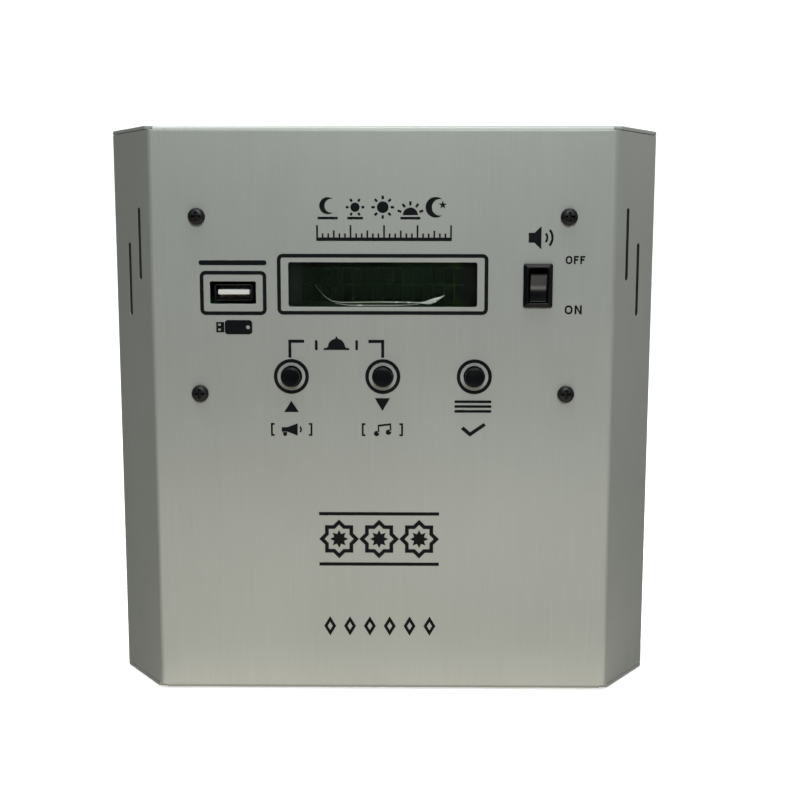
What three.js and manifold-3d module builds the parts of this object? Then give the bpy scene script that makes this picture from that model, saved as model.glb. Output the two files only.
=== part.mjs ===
// Azan clock: a folded sheet metal case with a text display, three push buttons, a rocker switch and a USB
// socket in its front, and a rear cover that carries the speaker, the sockets and the main board.
// Millimetres, +X to the right seen from the front, +Y to the back, +Z up. The origin is the middle of the
// case's underside.
import * as THREE from 'three';
import { mergeVertices } from 'three/addons/utils/BufferGeometryUtils.js';
import Module from 'manifold-3d';

// Case: a flat face, a slanted facet on each side of it, and straight side walls behind the facets
const faceWidth = 160;
const caseHeight = 200;
const caseDepth = 60;
const facetAcross = 18;
const facetDeep = 24.3;
const sheet = 1.2;
const bendInner = 0.9;
const seamGap = 0.7;
const cornerNotch = 1.4;

// Gaps and overruns that every piece shares
const fitGap = 0.3;
const pressGap = 0.1;
const overrun = 2;
const mergeTolerance = 0.0001;

// Ventilation slots in each facet: heights are from the middle of the face
const slotWidth = 2.2;
const innerSlotShare = 0.31;
const innerSlotLow = 47.3;
const innerSlotHigh = 72.5;
const outerSlotShare = 0.6;
const outerSlotLow = 34.4;
const outerSlotHigh = 60.4;

// Fasteners, all M3
const threadRadius = 1.45;
const threadHole = 1.7;
const headRadius = 2.95;
const headHigh = 2.1;
const headRound = 0.8;
const crossLong = 3.4;
const crossWide = 0.8;
const crossDeep = 1.1;

// Four screws through the face, with hexagonal standoffs that carry the control board
const panelScrewInset = 16;
const panelScrewHigh = 69.3;
const panelScrewLow = 8;
const panelScrewLong = 6;
const standoffAcross = 5.5;
const boardThick = 1.6;
const controlBoardMargin = 6.2;

// Display: clear window behind the cut-out, then the display module
const displayRise = 46;
const cutoutWidth = 65.4;
const cutoutHeight = 15.4;
const cutoutCorner = 0.8;
const windowLap = 2.3;
const windowThick = 1.5;
const windowCorner = 1.2;
const lcdBezelSide = 2.6;
const lcdBezelEnd = 4.3;
const lcdBezelDepth = 7;
const lcdBezelSheet = 0.5;
const lcdViewLap = 0.3;
const lcdGlassThick = 2.2;
const lcdLegReach = 20;
const lcdLegWide = 2.4;
const lcdLegLong = 2.6;
const lcdBoardSide = 4.4;
const lcdBoardEnd = 5.7;
const lcdHoleInset = 2.5;
const lcdHoleRadius = 1.3;
const pinPitch = 2.54;
const pinSide = 0.64;
const pinHole = 1;
const lcdPins = 16;
const lcdPinInset = 8;
const headerSpacer = 2.5;
const pinStickOut = 1.2;

// Three push buttons, each a round cap on a switch plunger
const buttonPitch = 32;
const buttonRise = 14;
const buttonHole = 3.75;
const buttonRadius = 3.35;
const buttonRound = 0.7;
const buttonProud = 4;
const buttonTravel = 1.5;
const switchSide = 8.5;
const switchHigh = 8;
const plungerSide = 3;
const plungerGrip = 4;
const plungerInside = 3.2;

// USB socket, type A, standing on the control board
const usbClearance = 4;
const usbDrop = 2.8;
const usbCutoutSide = 1.38;
const usbCutoutEnd = 1.02;
const usbCutoutCorner = 0.5;
const usbShellWidth = 13.14;
const usbShellHeight = 5.72;
const usbShellSheet = 0.35;
const usbMouthDepth = 1.6;
const usbTongueSide = 0.67;
const usbTongueThick = 1.84;
const usbTongueRise = 0.5;
const usbTongueInset = 0.6;
const usbBaseHigh = 3;
const usbContactWide = 1;
const usbContactThick = 0.25;
const usbContactPitch = 2.5;
const usbContacts = 4;

// Rocker switch, snapped into the face. The actuator turns on two trunnions.
const rockerClearance = 8.6;
const rockerDrop = 0.2;
const rockerBezelSide = 0.85;
const rockerBezelEnd = 1.1;
const rockerBezelProud = 2;
const rockerBevel = 1.3;
const rockerBevelHigh = 1.2;
const rockerWall = 1;
const rockerEndWall = 0.5;
const rockerBodyDepth = 11.5;
const rockerWell = 8;
const rockerWide = 5.8;
const rockerHalfLong = 5;
const rockerValley = 1.3;
const rockerValleyRound = 3;
const rockerPivotDeep = 3.2;
const rockerTilt = 12;
const rockerHeel = 3;
const rockerHeelHalf = 1.6;
const rockerShoulder = 0.5;
const rockerShoulderShare = 0.85;
const trunnionRadius = 1;
const trunnionLong = 0.6;

// Rear cover: a tray whose flanges slide inside the case walls
const rearFlange = 12;
const rearRelief = 1.5;
const sideScrewRise = 62;
const sideScrewLong = 6;

// Speaker behind a slotted grille in the rear cover
const speakerX = -45;
const speakerRise = 38;
const speakerRim = 4.5;
const speakerCorner = 6;
const speakerSheet = 1;
const speakerMouth = 20.5;
const speakerTagHigh = 3;
const speakerHoleInset = 4;
const basketDeep = 9;
const basketNarrow = 12.5;
const magnetRadius = 14;
const magnetDeep = 8;
const coneSheet = 0.5;
const rimWide = 1.2;
const rimDeep = 0.4;
const coneNarrow = 8;
const coneDeep = 6;
const dustCapRise = 2.5;
const grilleMargin = 1;
const grilleSlots = 7;
const grilleSlotWidth = 2.6;

// Audio output sockets in the rear cover
const audioSpacing = 18;
const audioBlockDeep = 12;
const audioBlockHigh = 12;
const audioAboveFloor = 66;
const audioShellRadius = 4.15;
const audioShellWall = 0.55;
const audioShellLong = 9;
const audioFlangeRadius = 5.4;
const audioFlangeThick = 1.2;
const audioBarrelRadius = 3;
const audioBarrelWall = 0.7;
const audioBarrelLong = 9;
const audioPinBore = 1.6;
const audioPinDeep = 9;
const audioFaceRecess = 1.2;

// Mains inlet, two pins in a recess with round ends, snapped into the rear cover
const inletAboveFloor = 30;
const inletFlangeLap = 1.8;
const inletFlangeThick = 2;
const inletFlangeCorner = 2;
const inletWall = 2;
const inletBodyDeep = 18;
const inletWellWidth = 15.8;
const inletWellHeight = 8;
const inletWellDeep = 12;
const inletPinRadius = 1.2;
const inletPinSpread = 8.6;
const inletPinLong = 8.5;

// Main board on standoffs behind the lower half of the case
const mainBoardLeftShare = 0.4;
const mainBoardAboveFloor = 8;
const mainBoardWidth = 130;
const mainBoardHeight = 80;
const mainHoleInset = 5;
const boardPartGap = 3;
const mainStandoffLong = 6;
const standoffRadius = 3;

// Transformer on the main board
const transformerInset = 23;
const transformerRise = 14;
const coreWidth = 42;
const coreHigh = 35;
const coreThick = 16;
const coreLimb = 7;
const coreLeg = 14;
const bobbinWall = 0.9;
const windingOut = 6.2;

// Fuse in two clips
const fuseRise = -20;
const fuseLong = 20;
const fuseRadius = 2.3;
const fuseCapRadius = 2.6;
const fuseCapLong = 5;
const fuseLift = 4;
const clipSheet = 0.4;
const clipLong = 4.4;

// Capacitors on the main board: one radius and height each
const capacitorRise = 24;
const capacitorPitch = 13;
const capacitorRadius = 5;
const capacitorHigh = 16;
const capacitorRound = 0.6;
const capacitorCount = 3;

// Regulator and heatsink
const regulatorRise = -24;
const regulatorWidth = 10;
const regulatorThick = 4.4;
const regulatorBodyHigh = 9;
const regulatorTabHigh = 6;
const regulatorTabThick = 1.3;
const regulatorLegHigh = 4;
const regulatorLegSide = 0.8;
const regulatorLegPitch = 2.54;
const heatsinkWidth = 25;
const heatsinkDeep = 9;
const heatsinkHigh = 20;
const heatsinkSheet = 1.6;
const heatsinkFins = 5;

// Two chips in dual in line bodies
const microcontrollerRise = -3;
const decoderRise = -14;
const chipLong = 36;
const chipWide = 7.2;
const chipThick = 3.2;
const chipLift = 0.6;
const chipLegSpread = 8.2;
const chipLegSide = 1;
const chipLegHigh = 2.2;
const chipLegsPerSide = 7;

// Backup battery
const batteryInset = 19;
const batteryRise = 14.6;
const cellRadius = 10;
const cellThick = 3.2;
const holderWall = 1.3;
const holderFloor = 0.8;
const holderHigh = 3.6;
const holderNotchHalf = 5;

// Ribbon cable between the two boards, with a plug and a header at each end
const ribbonX = 0;
const ribbonRise = 14;
const ribbonMainRise = 33;
const ribbonWidth = 17.8;
const ribbonThick = 0.9;
const ribbonReach = 11;
const ribbonSteps = 14;
const boxHeaderWidth = 25;
const boxHeaderThick = 8.8;
const boxHeaderHigh = 9;
const boxHeaderWall = 1.2;
const boxHeaderFloor = 2;
const ribbonPlugOut = 5;

// Twin leads inside the case and their plugs on the boards
const wireRadius = 0.8;
const coreOffsetShare = 0.875;
const coreSides = 4;
const wireSteps = 14;
const wireReach = 14;
const bootHigh = 5;
const plugWidth = 8;
const plugHeight = 6;
const plugHigh = 8;
const sidePlugInset = 7;
const mainsPlugRise = -18;
const audioPlugRise = -2;
const speakerPlugX = -10;
const speakerPlugInset = 3.4;
const switchPadX = 36;

// Fineness of the round shapes
const bendSteps = 3;
const cornerSteps = 2;
const roundSides = 24;
const holeSides = 16;
const smallSides = 10;
const hexSides = 6;

// Places that follow from the sizes above. Depths are from the front of the face.
const bendOuter = bendInner + sheet;
const halfFace = faceWidth / 2;
const halfWide = halfFace + facetAcross;
const halfHigh = caseHeight / 2;
const facetAngle = Math.atan2(facetDeep, facetAcross);
const panelScrewSpread = faceWidth - panelScrewInset * 2;
const controlBoardWidth = panelScrewSpread + controlBoardMargin * 2;
const windowWidth = cutoutWidth + windowLap * 2;
const windowHeight = cutoutHeight + windowLap * 2;
const lcdViewWidth = cutoutWidth + lcdViewLap * 2;
const lcdViewHeight = cutoutHeight + lcdViewLap * 2;
const lcdBezelWidth = lcdViewWidth + lcdBezelSide * 2;
const lcdBezelHeight = lcdViewHeight + lcdBezelEnd * 2;
const lcdBoardWidth = lcdBezelWidth + lcdBoardSide * 2;
const lcdBoardHeight = lcdBezelHeight + lcdBoardEnd * 2;
const lcdHoleSpread = lcdBoardWidth - lcdHoleInset * 2;
const lcdHoleRise = lcdBoardHeight - lcdHoleInset * 2;
const windowBack = sheet + windowThick;
const lcdFront = windowBack + fitGap;
const lcdBoardFront = lcdFront + lcdBezelDepth;
const lcdBoardBack = lcdBoardFront + boardThick;
const controlFront = lcdBoardBack + headerSpacer;
const controlBack = controlFront + boardThick;
const rearInner = caseDepth - sheet;
const mainBack = rearInner - mainStandoffLong;
const mainFront = mainBack - boardThick;
const controlBoardRise = (panelScrewHigh + panelScrewLow) / 2;
const controlBoardHeight = panelScrewHigh - panelScrewLow + controlBoardMargin * 2;
const usbCutoutWidth = usbShellWidth + usbCutoutSide * 2;
const usbCutoutHeight = usbShellHeight + usbCutoutEnd * 2;
const usbTongueWidth = usbShellWidth - usbShellSheet * 2 - usbTongueSide * 2;
const usbX = -(lcdBoardWidth / 2 + usbClearance + usbCutoutWidth / 2);
const usbRise = displayRise - usbDrop;
const rockerTurn = THREE.MathUtils.degToRad(rockerTilt);
const rockerCavityHalf = rockerHalfLong + rockerPivotDeep * Math.sin(rockerTurn) + fitGap;
const rockerBodyWidth = rockerWide + (fitGap + rockerWall) * 2;
const rockerBodyHeight = (rockerCavityHalf + rockerEndWall) * 2;
const rockerBezelWidth = rockerBodyWidth + rockerBezelSide * 2;
const rockerBezelHeight = rockerBodyHeight + rockerBezelEnd * 2;
const rockerX = lcdBoardWidth / 2 + rockerClearance + rockerBezelWidth / 2;
const rockerRise = displayRise - rockerDrop;
const rearHalfWide = halfWide - sheet - fitGap;
const rearHalfHigh = halfHigh - sheet - fitGap;
const speakerSide = (speakerMouth + speakerRim) * 2;
const speakerHoleSpread = speakerSide - speakerHoleInset * 2;
const grilleRadius = speakerMouth - grilleMargin;
const audioShellBore = audioShellRadius - audioShellWall;
const audioBarrelBore = audioBarrelRadius - audioBarrelWall;
const audioFloor = audioFlangeThick + fitGap;
const audioFace = audioShellLong - audioFaceRecess;
const inletBodyWidth = inletWellWidth + inletWall * 2;
const inletBodyHeight = inletWellHeight + inletWall * 2;
const inletFlangeWidth = inletBodyWidth + inletFlangeLap * 2;
const inletFlangeHeight = inletBodyHeight + inletFlangeLap * 2;

// The main board and the sockets beside it share the width inside the rear cover
const rearRoomHalf = rearHalfWide - sheet;
const audioBlockWidth = audioSpacing + audioBlockHigh;
const spareWidth = rearRoomHalf * 2 - mainBoardWidth - audioBlockWidth;
const mainBoardLeft = spareWidth * mainBoardLeftShare - rearRoomHalf;
const mainBoardX = mainBoardLeft + mainBoardWidth / 2;
const mainBoardRise = mainBoardAboveFloor + mainBoardHeight / 2 - halfHigh;
const socketX = (mainBoardLeft + mainBoardWidth + rearRoomHalf) / 2;
const audioRise = audioAboveFloor - halfHigh;
const inletRise = inletAboveFloor - halfHigh;

// Places on the main board, from its middle
const transformerX = transformerInset - mainBoardWidth / 2;
const capacitorX = transformerX + coreWidth / 2 + boardPartGap + capacitorRadius;
const chipX = capacitorX + capacitorRadius + boardPartGap + chipLong / 2;
const batteryX = mainBoardWidth / 2 - batteryInset;
const sidePlugX = mainBoardWidth / 2 - sidePlugInset;
const speakerPlugRise = mainBoardHeight / 2 - speakerPlugInset;

// Finishes
const brushedSheet = { color: 0x9aa099, roughness: 0.42, metalness: 0.85 };
const blackSteel = { color: 0x17181a, roughness: 0.45, metalness: 0.6 };
const zinc = { color: 0xb8babb, roughness: 0.35, metalness: 0.9 };
const clearPlastic = { color: 0x20302a, roughness: 0.06, metalness: 0 };
const displayGlass = { color: 0x141c16, roughness: 0.1, metalness: 0 };
const whitePlastic = { color: 0xe6e7e4, roughness: 0.4, metalness: 0 };
const blackPlastic = { color: 0x101113, roughness: 0.35, metalness: 0 };
const boardGreen = { color: 0x1f5a34, roughness: 0.5, metalness: 0 };
const boardBlue = { color: 0x1c3f66, roughness: 0.5, metalness: 0 };
const goldPlate = { color: 0xc9a24b, roughness: 0.3, metalness: 1 };
const coreSteel = { color: 0x5c5e60, roughness: 0.6, metalness: 0.7 };
const windingTape = { color: 0xb98a2c, roughness: 0.5, metalness: 0 };
const paperCone = { color: 0x2b2a28, roughness: 0.9, metalness: 0 };
const chipPlastic = { color: 0x1b1c1e, roughness: 0.6, metalness: 0 };
const capacitorSleeve = { color: 0x23304f, roughness: 0.4, metalness: 0 };
const fuseGlass = { color: 0xc8d2cf, roughness: 0.1, metalness: 0 };
const ribbonGrey = { color: 0x9b9da1, roughness: 0.6, metalness: 0 };
const signalWire = { color: 0xa8322b, roughness: 0.5, metalness: 0 };
const mainsWire = { color: 0x3b4a8c, roughness: 0.5, metalness: 0 };

const wasm = await Module();
wasm.setup();

// Turns a closed geometry into a solid, with its faces turned outwards
function solidOf(geometry) {
  const bare = geometry.clone();
  bare.deleteAttribute('normal');
  bare.deleteAttribute('uv');
  const merged = mergeVertices(bare, mergeTolerance);
  const positions = merged.attributes.position;
  const corners = [];
  let volume = 0;
  const [a, b, c] = [new THREE.Vector3(), new THREE.Vector3(), new THREE.Vector3()];
  for (let i = 0; i < merged.index.count; i += 3) {
    const triangle = [merged.index.getX(i), merged.index.getX(i + 1), merged.index.getX(i + 2)];
    if (new Set(triangle).size < 3) continue;
    corners.push(triangle);
    [a, b, c].forEach((point, k) => point.fromBufferAttribute(positions, triangle[k]));
    volume += a.dot(b.cross(c));
  }
  const turned = volume < 0 ? corners.map(([i, j, k]) => [i, k, j]) : corners;
  const mesh = new wasm.Mesh({
    numProp: 3,
    vertProperties: new Float32Array(positions.array),
    triVerts: new Uint32Array(turned.flat()),
  });
  return new wasm.Manifold(mesh);
}

// Turns a solid back into a geometry
function geometryOf(solid) {
  const mesh = solid.getMesh();
  const geometry = new THREE.BufferGeometry();
  const points = new Float32Array(mesh.numVert * 3);
  for (let i = 0; i < mesh.numVert; i += 1) {
    for (let k = 0; k < 3; k += 1) points[i * 3 + k] = mesh.vertProperties[i * mesh.numProp + k];
  }
  geometry.setAttribute('position', new THREE.BufferAttribute(points, 3));
  geometry.setIndex(new THREE.BufferAttribute(new Uint32Array(mesh.triVerts), 1));
  geometry.computeVertexNormals();
  return geometry;
}

function join(solids) {
  return solids.reduce((sum, solid) => sum.add(solid));
}

function cut(solid, tools) {
  return tools.reduce((rest, tool) => rest.subtract(tool), solid);
}

// A box from its ranges in x, y and z
function block([x0, x1], [y0, y1], [z0, z1]) {
  const geometry = new THREE.BoxGeometry(x1 - x0, y1 - y0, z1 - z0);
  geometry.translate((x0 + x1) / 2, (y0 + y1) / 2, (z0 + z1) / 2);
  return solidOf(geometry);
}

// A range of one length round a middle
function span(length, middle = 0) {
  return [middle - length / 2, middle + length / 2];
}

// A box whose near face, the one with the lower y, is drawn in by one inset on each side
function taperedBlock(width, height, [near, far], inset) {
  const geometry = new THREE.BoxGeometry(width, far - near, height);
  const points = geometry.attributes.position;
  for (let i = 0; i < points.count; i += 1) {
    if (points.getY(i) > 0) continue;
    points.setX(i, points.getX(i) - Math.sign(points.getX(i)) * inset);
    points.setZ(i, points.getZ(i) - Math.sign(points.getZ(i)) * inset);
  }
  geometry.translate(0, (near + far) / 2, 0);
  return solidOf(geometry);
}

// A round rod along y
function rod(radius, [near, far], x = 0, z = 0, sides = holeSides) {
  const geometry = new THREE.CylinderGeometry(radius, radius, far - near, sides);
  geometry.translate(x, (near + far) / 2, z);
  return solidOf(geometry);
}

// A profile of [radius, y] points turned about y
function turned(profile, sides = holeSides) {
  const points = profile.map(([radius, y]) => new THREE.Vector2(radius, y));
  return solidOf(new THREE.LatheGeometry(points, sides));
}

// A closed shape through [x, y, radius] corners, rounded where the radius isn't zero
function roundedShape(corners) {
  const shape = new THREE.Shape();
  corners.forEach(([x, y, radius], i) => {
    const before = corners[(i + corners.length - 1) % corners.length];
    const after = corners[(i + 1) % corners.length];
    const into = new THREE.Vector2(x - before[0], y - before[1]).normalize();
    const out = new THREE.Vector2(after[0] - x, after[1] - y).normalize();
    const turn = Math.atan2(into.cross(out), into.dot(out));
    const back = radius * Math.tan(Math.abs(turn) / 2);
    const start = new THREE.Vector2(x, y).addScaledVector(into, -back);
    if (i === 0) shape.moveTo(start.x, start.y);
    else shape.lineTo(start.x, start.y);
    if (radius === 0) return;
    const towards = new THREE.Vector2(-into.y, into.x).multiplyScalar(Math.sign(turn));
    const centre = start.clone().addScaledVector(towards, radius);
    const from = Math.atan2(-towards.y, -towards.x);
    shape.absarc(centre.x, centre.y, radius, from, from + turn, turn < 0);
  });
  shape.closePath();
  return shape;
}

// A rectangle with round corners
function rectangle(width, height, radius = 0, x = 0, y = 0) {
  const [x0, x1] = span(width, x);
  const [y0, y1] = span(height, y);
  return roundedShape([[x0, y0, radius], [x1, y0, radius], [x1, y1, radius], [x0, y1, radius]]);
}

function extruded(shape, depth, steps) {
  return new THREE.ExtrudeGeometry(shape, { depth, bevelEnabled: false, curveSegments: steps });
}

// A shape drawn in x and y, made solid between two heights
function prism(shape, [low, high], steps = cornerSteps) {
  return solidOf(extruded(shape, high - low, steps).translate(0, 0, low));
}

// A shape drawn in x and z, made solid between two depths
function plate(shape, [near, far], steps = cornerSteps) {
  const geometry = extruded(shape, far - near, steps);
  geometry.rotateX(Math.PI / 2);
  return solidOf(geometry.translate(0, far, 0));
}

// A shape drawn in y and z, made solid between two places in x
function bar(shape, [left, right], steps = cornerSteps) {
  const geometry = extruded(shape, right - left, steps);
  geometry.rotateX(Math.PI / 2);
  geometry.rotateZ(Math.PI / 2);
  return solidOf(geometry.translate(left, 0, 0));
}

// A pan head screw along y: the head's underside is at y = 0 and the thread goes towards +y
function panScrew(length) {
  const profile = [
    [0, -headHigh],
    [headRadius - headRound, -headHigh],
    [headRadius - headRound * (1 - Math.SQRT1_2), -headHigh + headRound * (1 - Math.SQRT1_2)],
    [headRadius, -headHigh + headRound],
    [headRadius, 0],
    [threadRadius, 0],
    [threadRadius, length],
    [0, length],
  ];
  const deep = [-headHigh - overrun, crossDeep - headHigh];
  const cross = [
    block(span(crossLong), deep, span(crossWide)),
    block(span(crossWide), deep, span(crossLong)),
  ];
  return cut(turned(profile), cross);
}

// The four places at half a spread in x and two heights
function fourPlaces(spread, y, low, high) {
  return [-1, 1].flatMap((side) => [low, high].map((z) => [side * spread / 2, y, z]));
}

const clock = new THREE.Group();
const shell = new THREE.Group();
shell.position.set(0, -caseDepth / 2, caseHeight / 2);
clock.add(shell);

function addPiece(parent, name, shape, finish, place = [0, 0, 0], turnZ = 0) {
  const mesh = new THREE.Mesh(geometryOf(shape), new THREE.MeshStandardMaterial(finish));
  mesh.name = name;
  mesh.position.set(...place);
  mesh.rotation.z = turnZ;
  parent.add(mesh);
}

// One named piece at each place, numbered from 1
function addCopies(parent, name, shape, finish, places, turnZ = () => 0) {
  places.forEach((place, i) => addPiece(parent, `${name}_${i + 1}`, shape, finish, place, turnZ(place)));
}

function addGroup(x, y, z, parent = shell) {
  const group = new THREE.Group();
  group.position.set(x, y, z);
  parent.add(group);
  return group;
}

// Front cover

// Plan of the case, drawn in from its outer surface, with the back edge at a given depth
function casePlan(inset, back) {
  const radius = bendOuter - inset;
  const frontX = halfFace - inset * Math.tan(facetAngle / 2);
  const sideX = halfWide - inset;
  const sideY = facetDeep + inset * Math.tan((Math.PI / 2 - facetAngle) / 2);
  return roundedShape([
    [-frontX, inset, radius],
    [frontX, inset, radius],
    [sideX, sideY, radius],
    [sideX, back, 0],
    [-sideX, back, 0],
    [-sideX, sideY, radius],
  ]);
}

// Section of the face with its top and bottom bends
function channelSection(inset, back) {
  const radius = bendOuter - inset;
  const high = halfHigh - inset;
  return roundedShape([[inset, -high, radius], [back, -high, 0], [back, high, 0], [inset, high, radius]]);
}

function ventSlot(side, share, low, high) {
  const outline = rectangle(slotWidth, high - low, slotWidth / 2, 0, (low + high) / 2);
  const geometry = extruded(outline, sheet + overrun * 2, cornerSteps);
  geometry.rotateX(Math.PI / 2);
  geometry.translate(0, sheet + overrun, 0);
  geometry.rotateZ(side * facetAngle);
  const x = side * (halfFace + share * facetAcross);
  return solidOf(geometry.translate(x, share * facetDeep, 0));
}

function sideScrewPlaces(x) {
  const y = caseDepth - rearFlange / 2;
  return [-1, 1].flatMap((side) => [-1, 1].map((up) => [side * x, y, up * sideScrewRise]));
}

function sideHole([x, y, z]) {
  const geometry = new THREE.CylinderGeometry(threadHole, threadHole, rearFlange, smallSides);
  geometry.rotateZ(Math.PI / 2);
  return solidOf(geometry.translate(x, y, z));
}

function frontCover() {
  const wallTop = halfHigh - sheet - seamGap;
  const walls = prism(casePlan(0, caseDepth), [-wallTop, wallTop], bendSteps)
    .subtract(prism(casePlan(sheet, caseDepth + overrun), [-halfHigh, halfHigh], bendSteps));
  const channelHalf = halfFace - cornerNotch;
  const channel = bar(channelSection(0, caseDepth), span(channelHalf * 2), bendSteps)
    .subtract(bar(channelSection(sheet, caseDepth + overrun), span(faceWidth), bendSteps));
  const behindBend = block(span(halfWide * 2 + overrun), [bendOuter, caseDepth], span(caseHeight));
  const flanges = [-1, 1].map((side) => {
    const heights = [halfHigh - sheet, halfHigh].map((z) => side * z).sort((p, q) => p - q);
    return prism(casePlan(0, caseDepth), heights, bendSteps).intersect(behindBend);
  });
  const through = [-overrun, sheet + overrun];
  const cutouts = [
    plate(rectangle(cutoutWidth, cutoutHeight, cutoutCorner, 0, displayRise), through),
    plate(rectangle(usbCutoutWidth, usbCutoutHeight, usbCutoutCorner, usbX, usbRise), through),
    plate(rectangle(rockerBodyWidth + fitGap, rockerBodyHeight + fitGap, 0, rockerX, rockerRise), through),
  ];
  const buttons = [-1, 0, 1].map((i) => rod(buttonHole, through, i * buttonPitch, buttonRise, roundSides));
  const screws = fourPlaces(panelScrewSpread, 0, panelScrewLow, panelScrewHigh)
    .map(([x, , z]) => rod(threadHole, through, x, z));
  const slots = [-1, 1].flatMap((side) => [
    ventSlot(side, innerSlotShare, innerSlotLow, innerSlotHigh),
    ventSlot(side, outerSlotShare, outerSlotLow, outerSlotHigh),
  ]);
  const sides = sideScrewPlaces(halfWide).map(sideHole);
  return cut(join([walls, channel, ...flanges]), [...cutouts, ...buttons, ...screws, ...slots, ...sides]);
}

// Rear cover

// Section of the rear cover with a flange at each end, drawn as across and depth
function traySection(half, inset) {
  const near = inset === 0 ? caseDepth - rearFlange : caseDepth - rearFlange - overrun;
  const far = caseDepth - inset;
  const radius = bendOuter - inset;
  const out = half - inset;
  return [[-out, near, 0], [out, near, 0], [out, far, radius], [-out, far, radius]];
}

function swapped(corners) {
  return corners.map(([across, depth, radius]) => [depth, across, radius]).reverse();
}

function grille() {
  const through = [rearInner - overrun, caseDepth + overrun];
  const pitch = grilleRadius * 2 / grilleSlots;
  return Array.from({ length: grilleSlots }, (_, i) => {
    const offset = (i - (grilleSlots - 1) / 2) * pitch;
    const long = Math.sqrt(grilleRadius ** 2 - offset ** 2) * 2;
    const outline = rectangle(grilleSlotWidth, long, grilleSlotWidth / 2, speakerX + offset, speakerRise);
    return plate(outline, through);
  });
}

function mainHolePlaces() {
  const low = mainBoardRise - mainBoardHeight / 2 + mainHoleInset;
  const high = mainBoardRise + mainBoardHeight / 2 - mainHoleInset;
  const places = fourPlaces(mainBoardWidth - mainHoleInset * 2, 0, low, high);
  return places.map(([x, y, z]) => [x + mainBoardX, y, z]);
}

function speakerHolePlaces() {
  const low = speakerRise - speakerHoleSpread / 2;
  const places = fourPlaces(speakerHoleSpread, 0, low, low + speakerHoleSpread);
  return places.map(([x, y, z]) => [x + speakerX, y, z]);
}

function rearCover() {
  const sideHalf = rearHalfHigh - bendOuter - rearRelief;
  const endHalf = rearHalfWide - bendOuter - rearRelief;
  const sides = prism(roundedShape(traySection(rearHalfWide, 0)), span(sideHalf * 2), bendSteps)
    .subtract(prism(roundedShape(traySection(rearHalfWide, sheet)), span(caseHeight), bendSteps));
  const ends = bar(roundedShape(swapped(traySection(rearHalfHigh, 0))), span(endHalf * 2), bendSteps)
    .subtract(bar(roundedShape(swapped(traySection(rearHalfHigh, sheet))), span(halfWide * 2), bendSteps));
  const through = [mainBack - overrun, caseDepth + overrun];
  const screws = speakerHolePlaces().map(([x, , z]) => rod(threadHole, through, x, z, smallSides));
  const audio = [-1, 1].map((side) => {
    const x = socketX + (side * audioSpacing) / 2;
    return rod(audioBarrelRadius + fitGap, through, x, audioRise);
  });
  const inletHole = rectangle(inletBodyWidth + fitGap, inletBodyHeight + fitGap, 0, socketX, inletRise);
  const inlet = plate(inletHole, through);
  const sideHoles = sideScrewPlaces(halfWide).map(sideHole);
  const standoffs = mainHolePlaces().map(([x, , z]) => rod(
    standoffRadius,
    [mainBack, caseDepth],
    x,
    z,
    hexSides,
  ));
  const threads = mainHolePlaces().map(([x, , z]) => rod(threadHole, through, x, z, smallSides));
  const holes = [...grille(), ...screws, ...audio, inlet, ...sideHoles, ...threads];
  return cut(join([sides, ends, ...standoffs]), holes);
}

function addCase() {
  addPiece(shell, 'front_cover', frontCover(), brushedSheet);
  addPiece(shell, 'rear_cover', rearCover(), brushedSheet);
  const inward = ([x]) => (x > 0 ? Math.PI / 2 : -Math.PI / 2);
  const places = sideScrewPlaces(halfWide);
  addCopies(shell, 'rear_cover_screw', panScrew(sideScrewLong), blackSteel, places, inward);
}

// Control board, with the spacers that are soldered to its front and meet the face

function addControlBoard() {
  const places = fourPlaces(panelScrewSpread, 0, panelScrewLow, panelScrewHigh);
  addCopies(shell, 'panel_screw', panScrew(panelScrewLong), blackSteel, places);

  const hexRadius = standoffAcross / Math.sqrt(3);
  const spacers = places.map(([x, , z]) => rod(hexRadius, [sheet, controlBack], x, z, hexSides));
  const outline = block(
    span(controlBoardWidth),
    [controlFront, controlBack],
    span(controlBoardHeight, controlBoardRise),
  );
  const through = [controlFront - overrun, controlBack + overrun];
  const rockerRoom = rockerBodyHeight + overrun * 2;
  const holes = [
    ...places.map(([x, , z]) => rod(threadHole, [0, controlBack + overrun], x, z, smallSides)),
    lcdPinSlot(through),
    block(span(rockerBodyWidth + overrun * 2, rockerX), through, span(rockerRoom, rockerRise)),
  ];
  addPiece(shell, 'control_board', cut(join([outline, ...spacers]), holes), boardGreen);
}

// Display module and its window

function lcdHolePlaces() {
  const half = lcdHoleRise / 2;
  return fourPlaces(lcdHoleSpread, 0, displayRise - half, displayRise + half);
}

function lcdPinPlaces() {
  const start = -lcdBoardWidth / 2 + lcdPinInset;
  const z = displayRise + lcdHoleRise / 2;
  return Array.from({ length: lcdPins }, (_, i) => [start + i * pinPitch, 0, z]);
}

// One slot for the whole row of pins
function lcdPinSlot(through) {
  const [first] = lcdPinPlaces();
  const row = [first[0] - pinHole / 2, first[0] + (lcdPins - 1) * pinPitch + pinHole / 2];
  return block(row, through, span(pinHole, first[2]));
}

function lcdLegs(grow) {
  const outer = lcdBezelHeight / 2;
  const ends = [lcdBoardFront - pressGap, lcdBoardBack + lcdLegLong - boardThick];
  return [-1, 1].flatMap((side) => [-1, 1].map((up) => {
    const heights = [outer - lcdBezelSheet - grow, outer + grow].map((z) => displayRise + up * z);
    return block(span(lcdLegWide + grow * 2, side * lcdLegReach), ends, heights.sort((p, q) => p - q));
  }));
}

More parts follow.
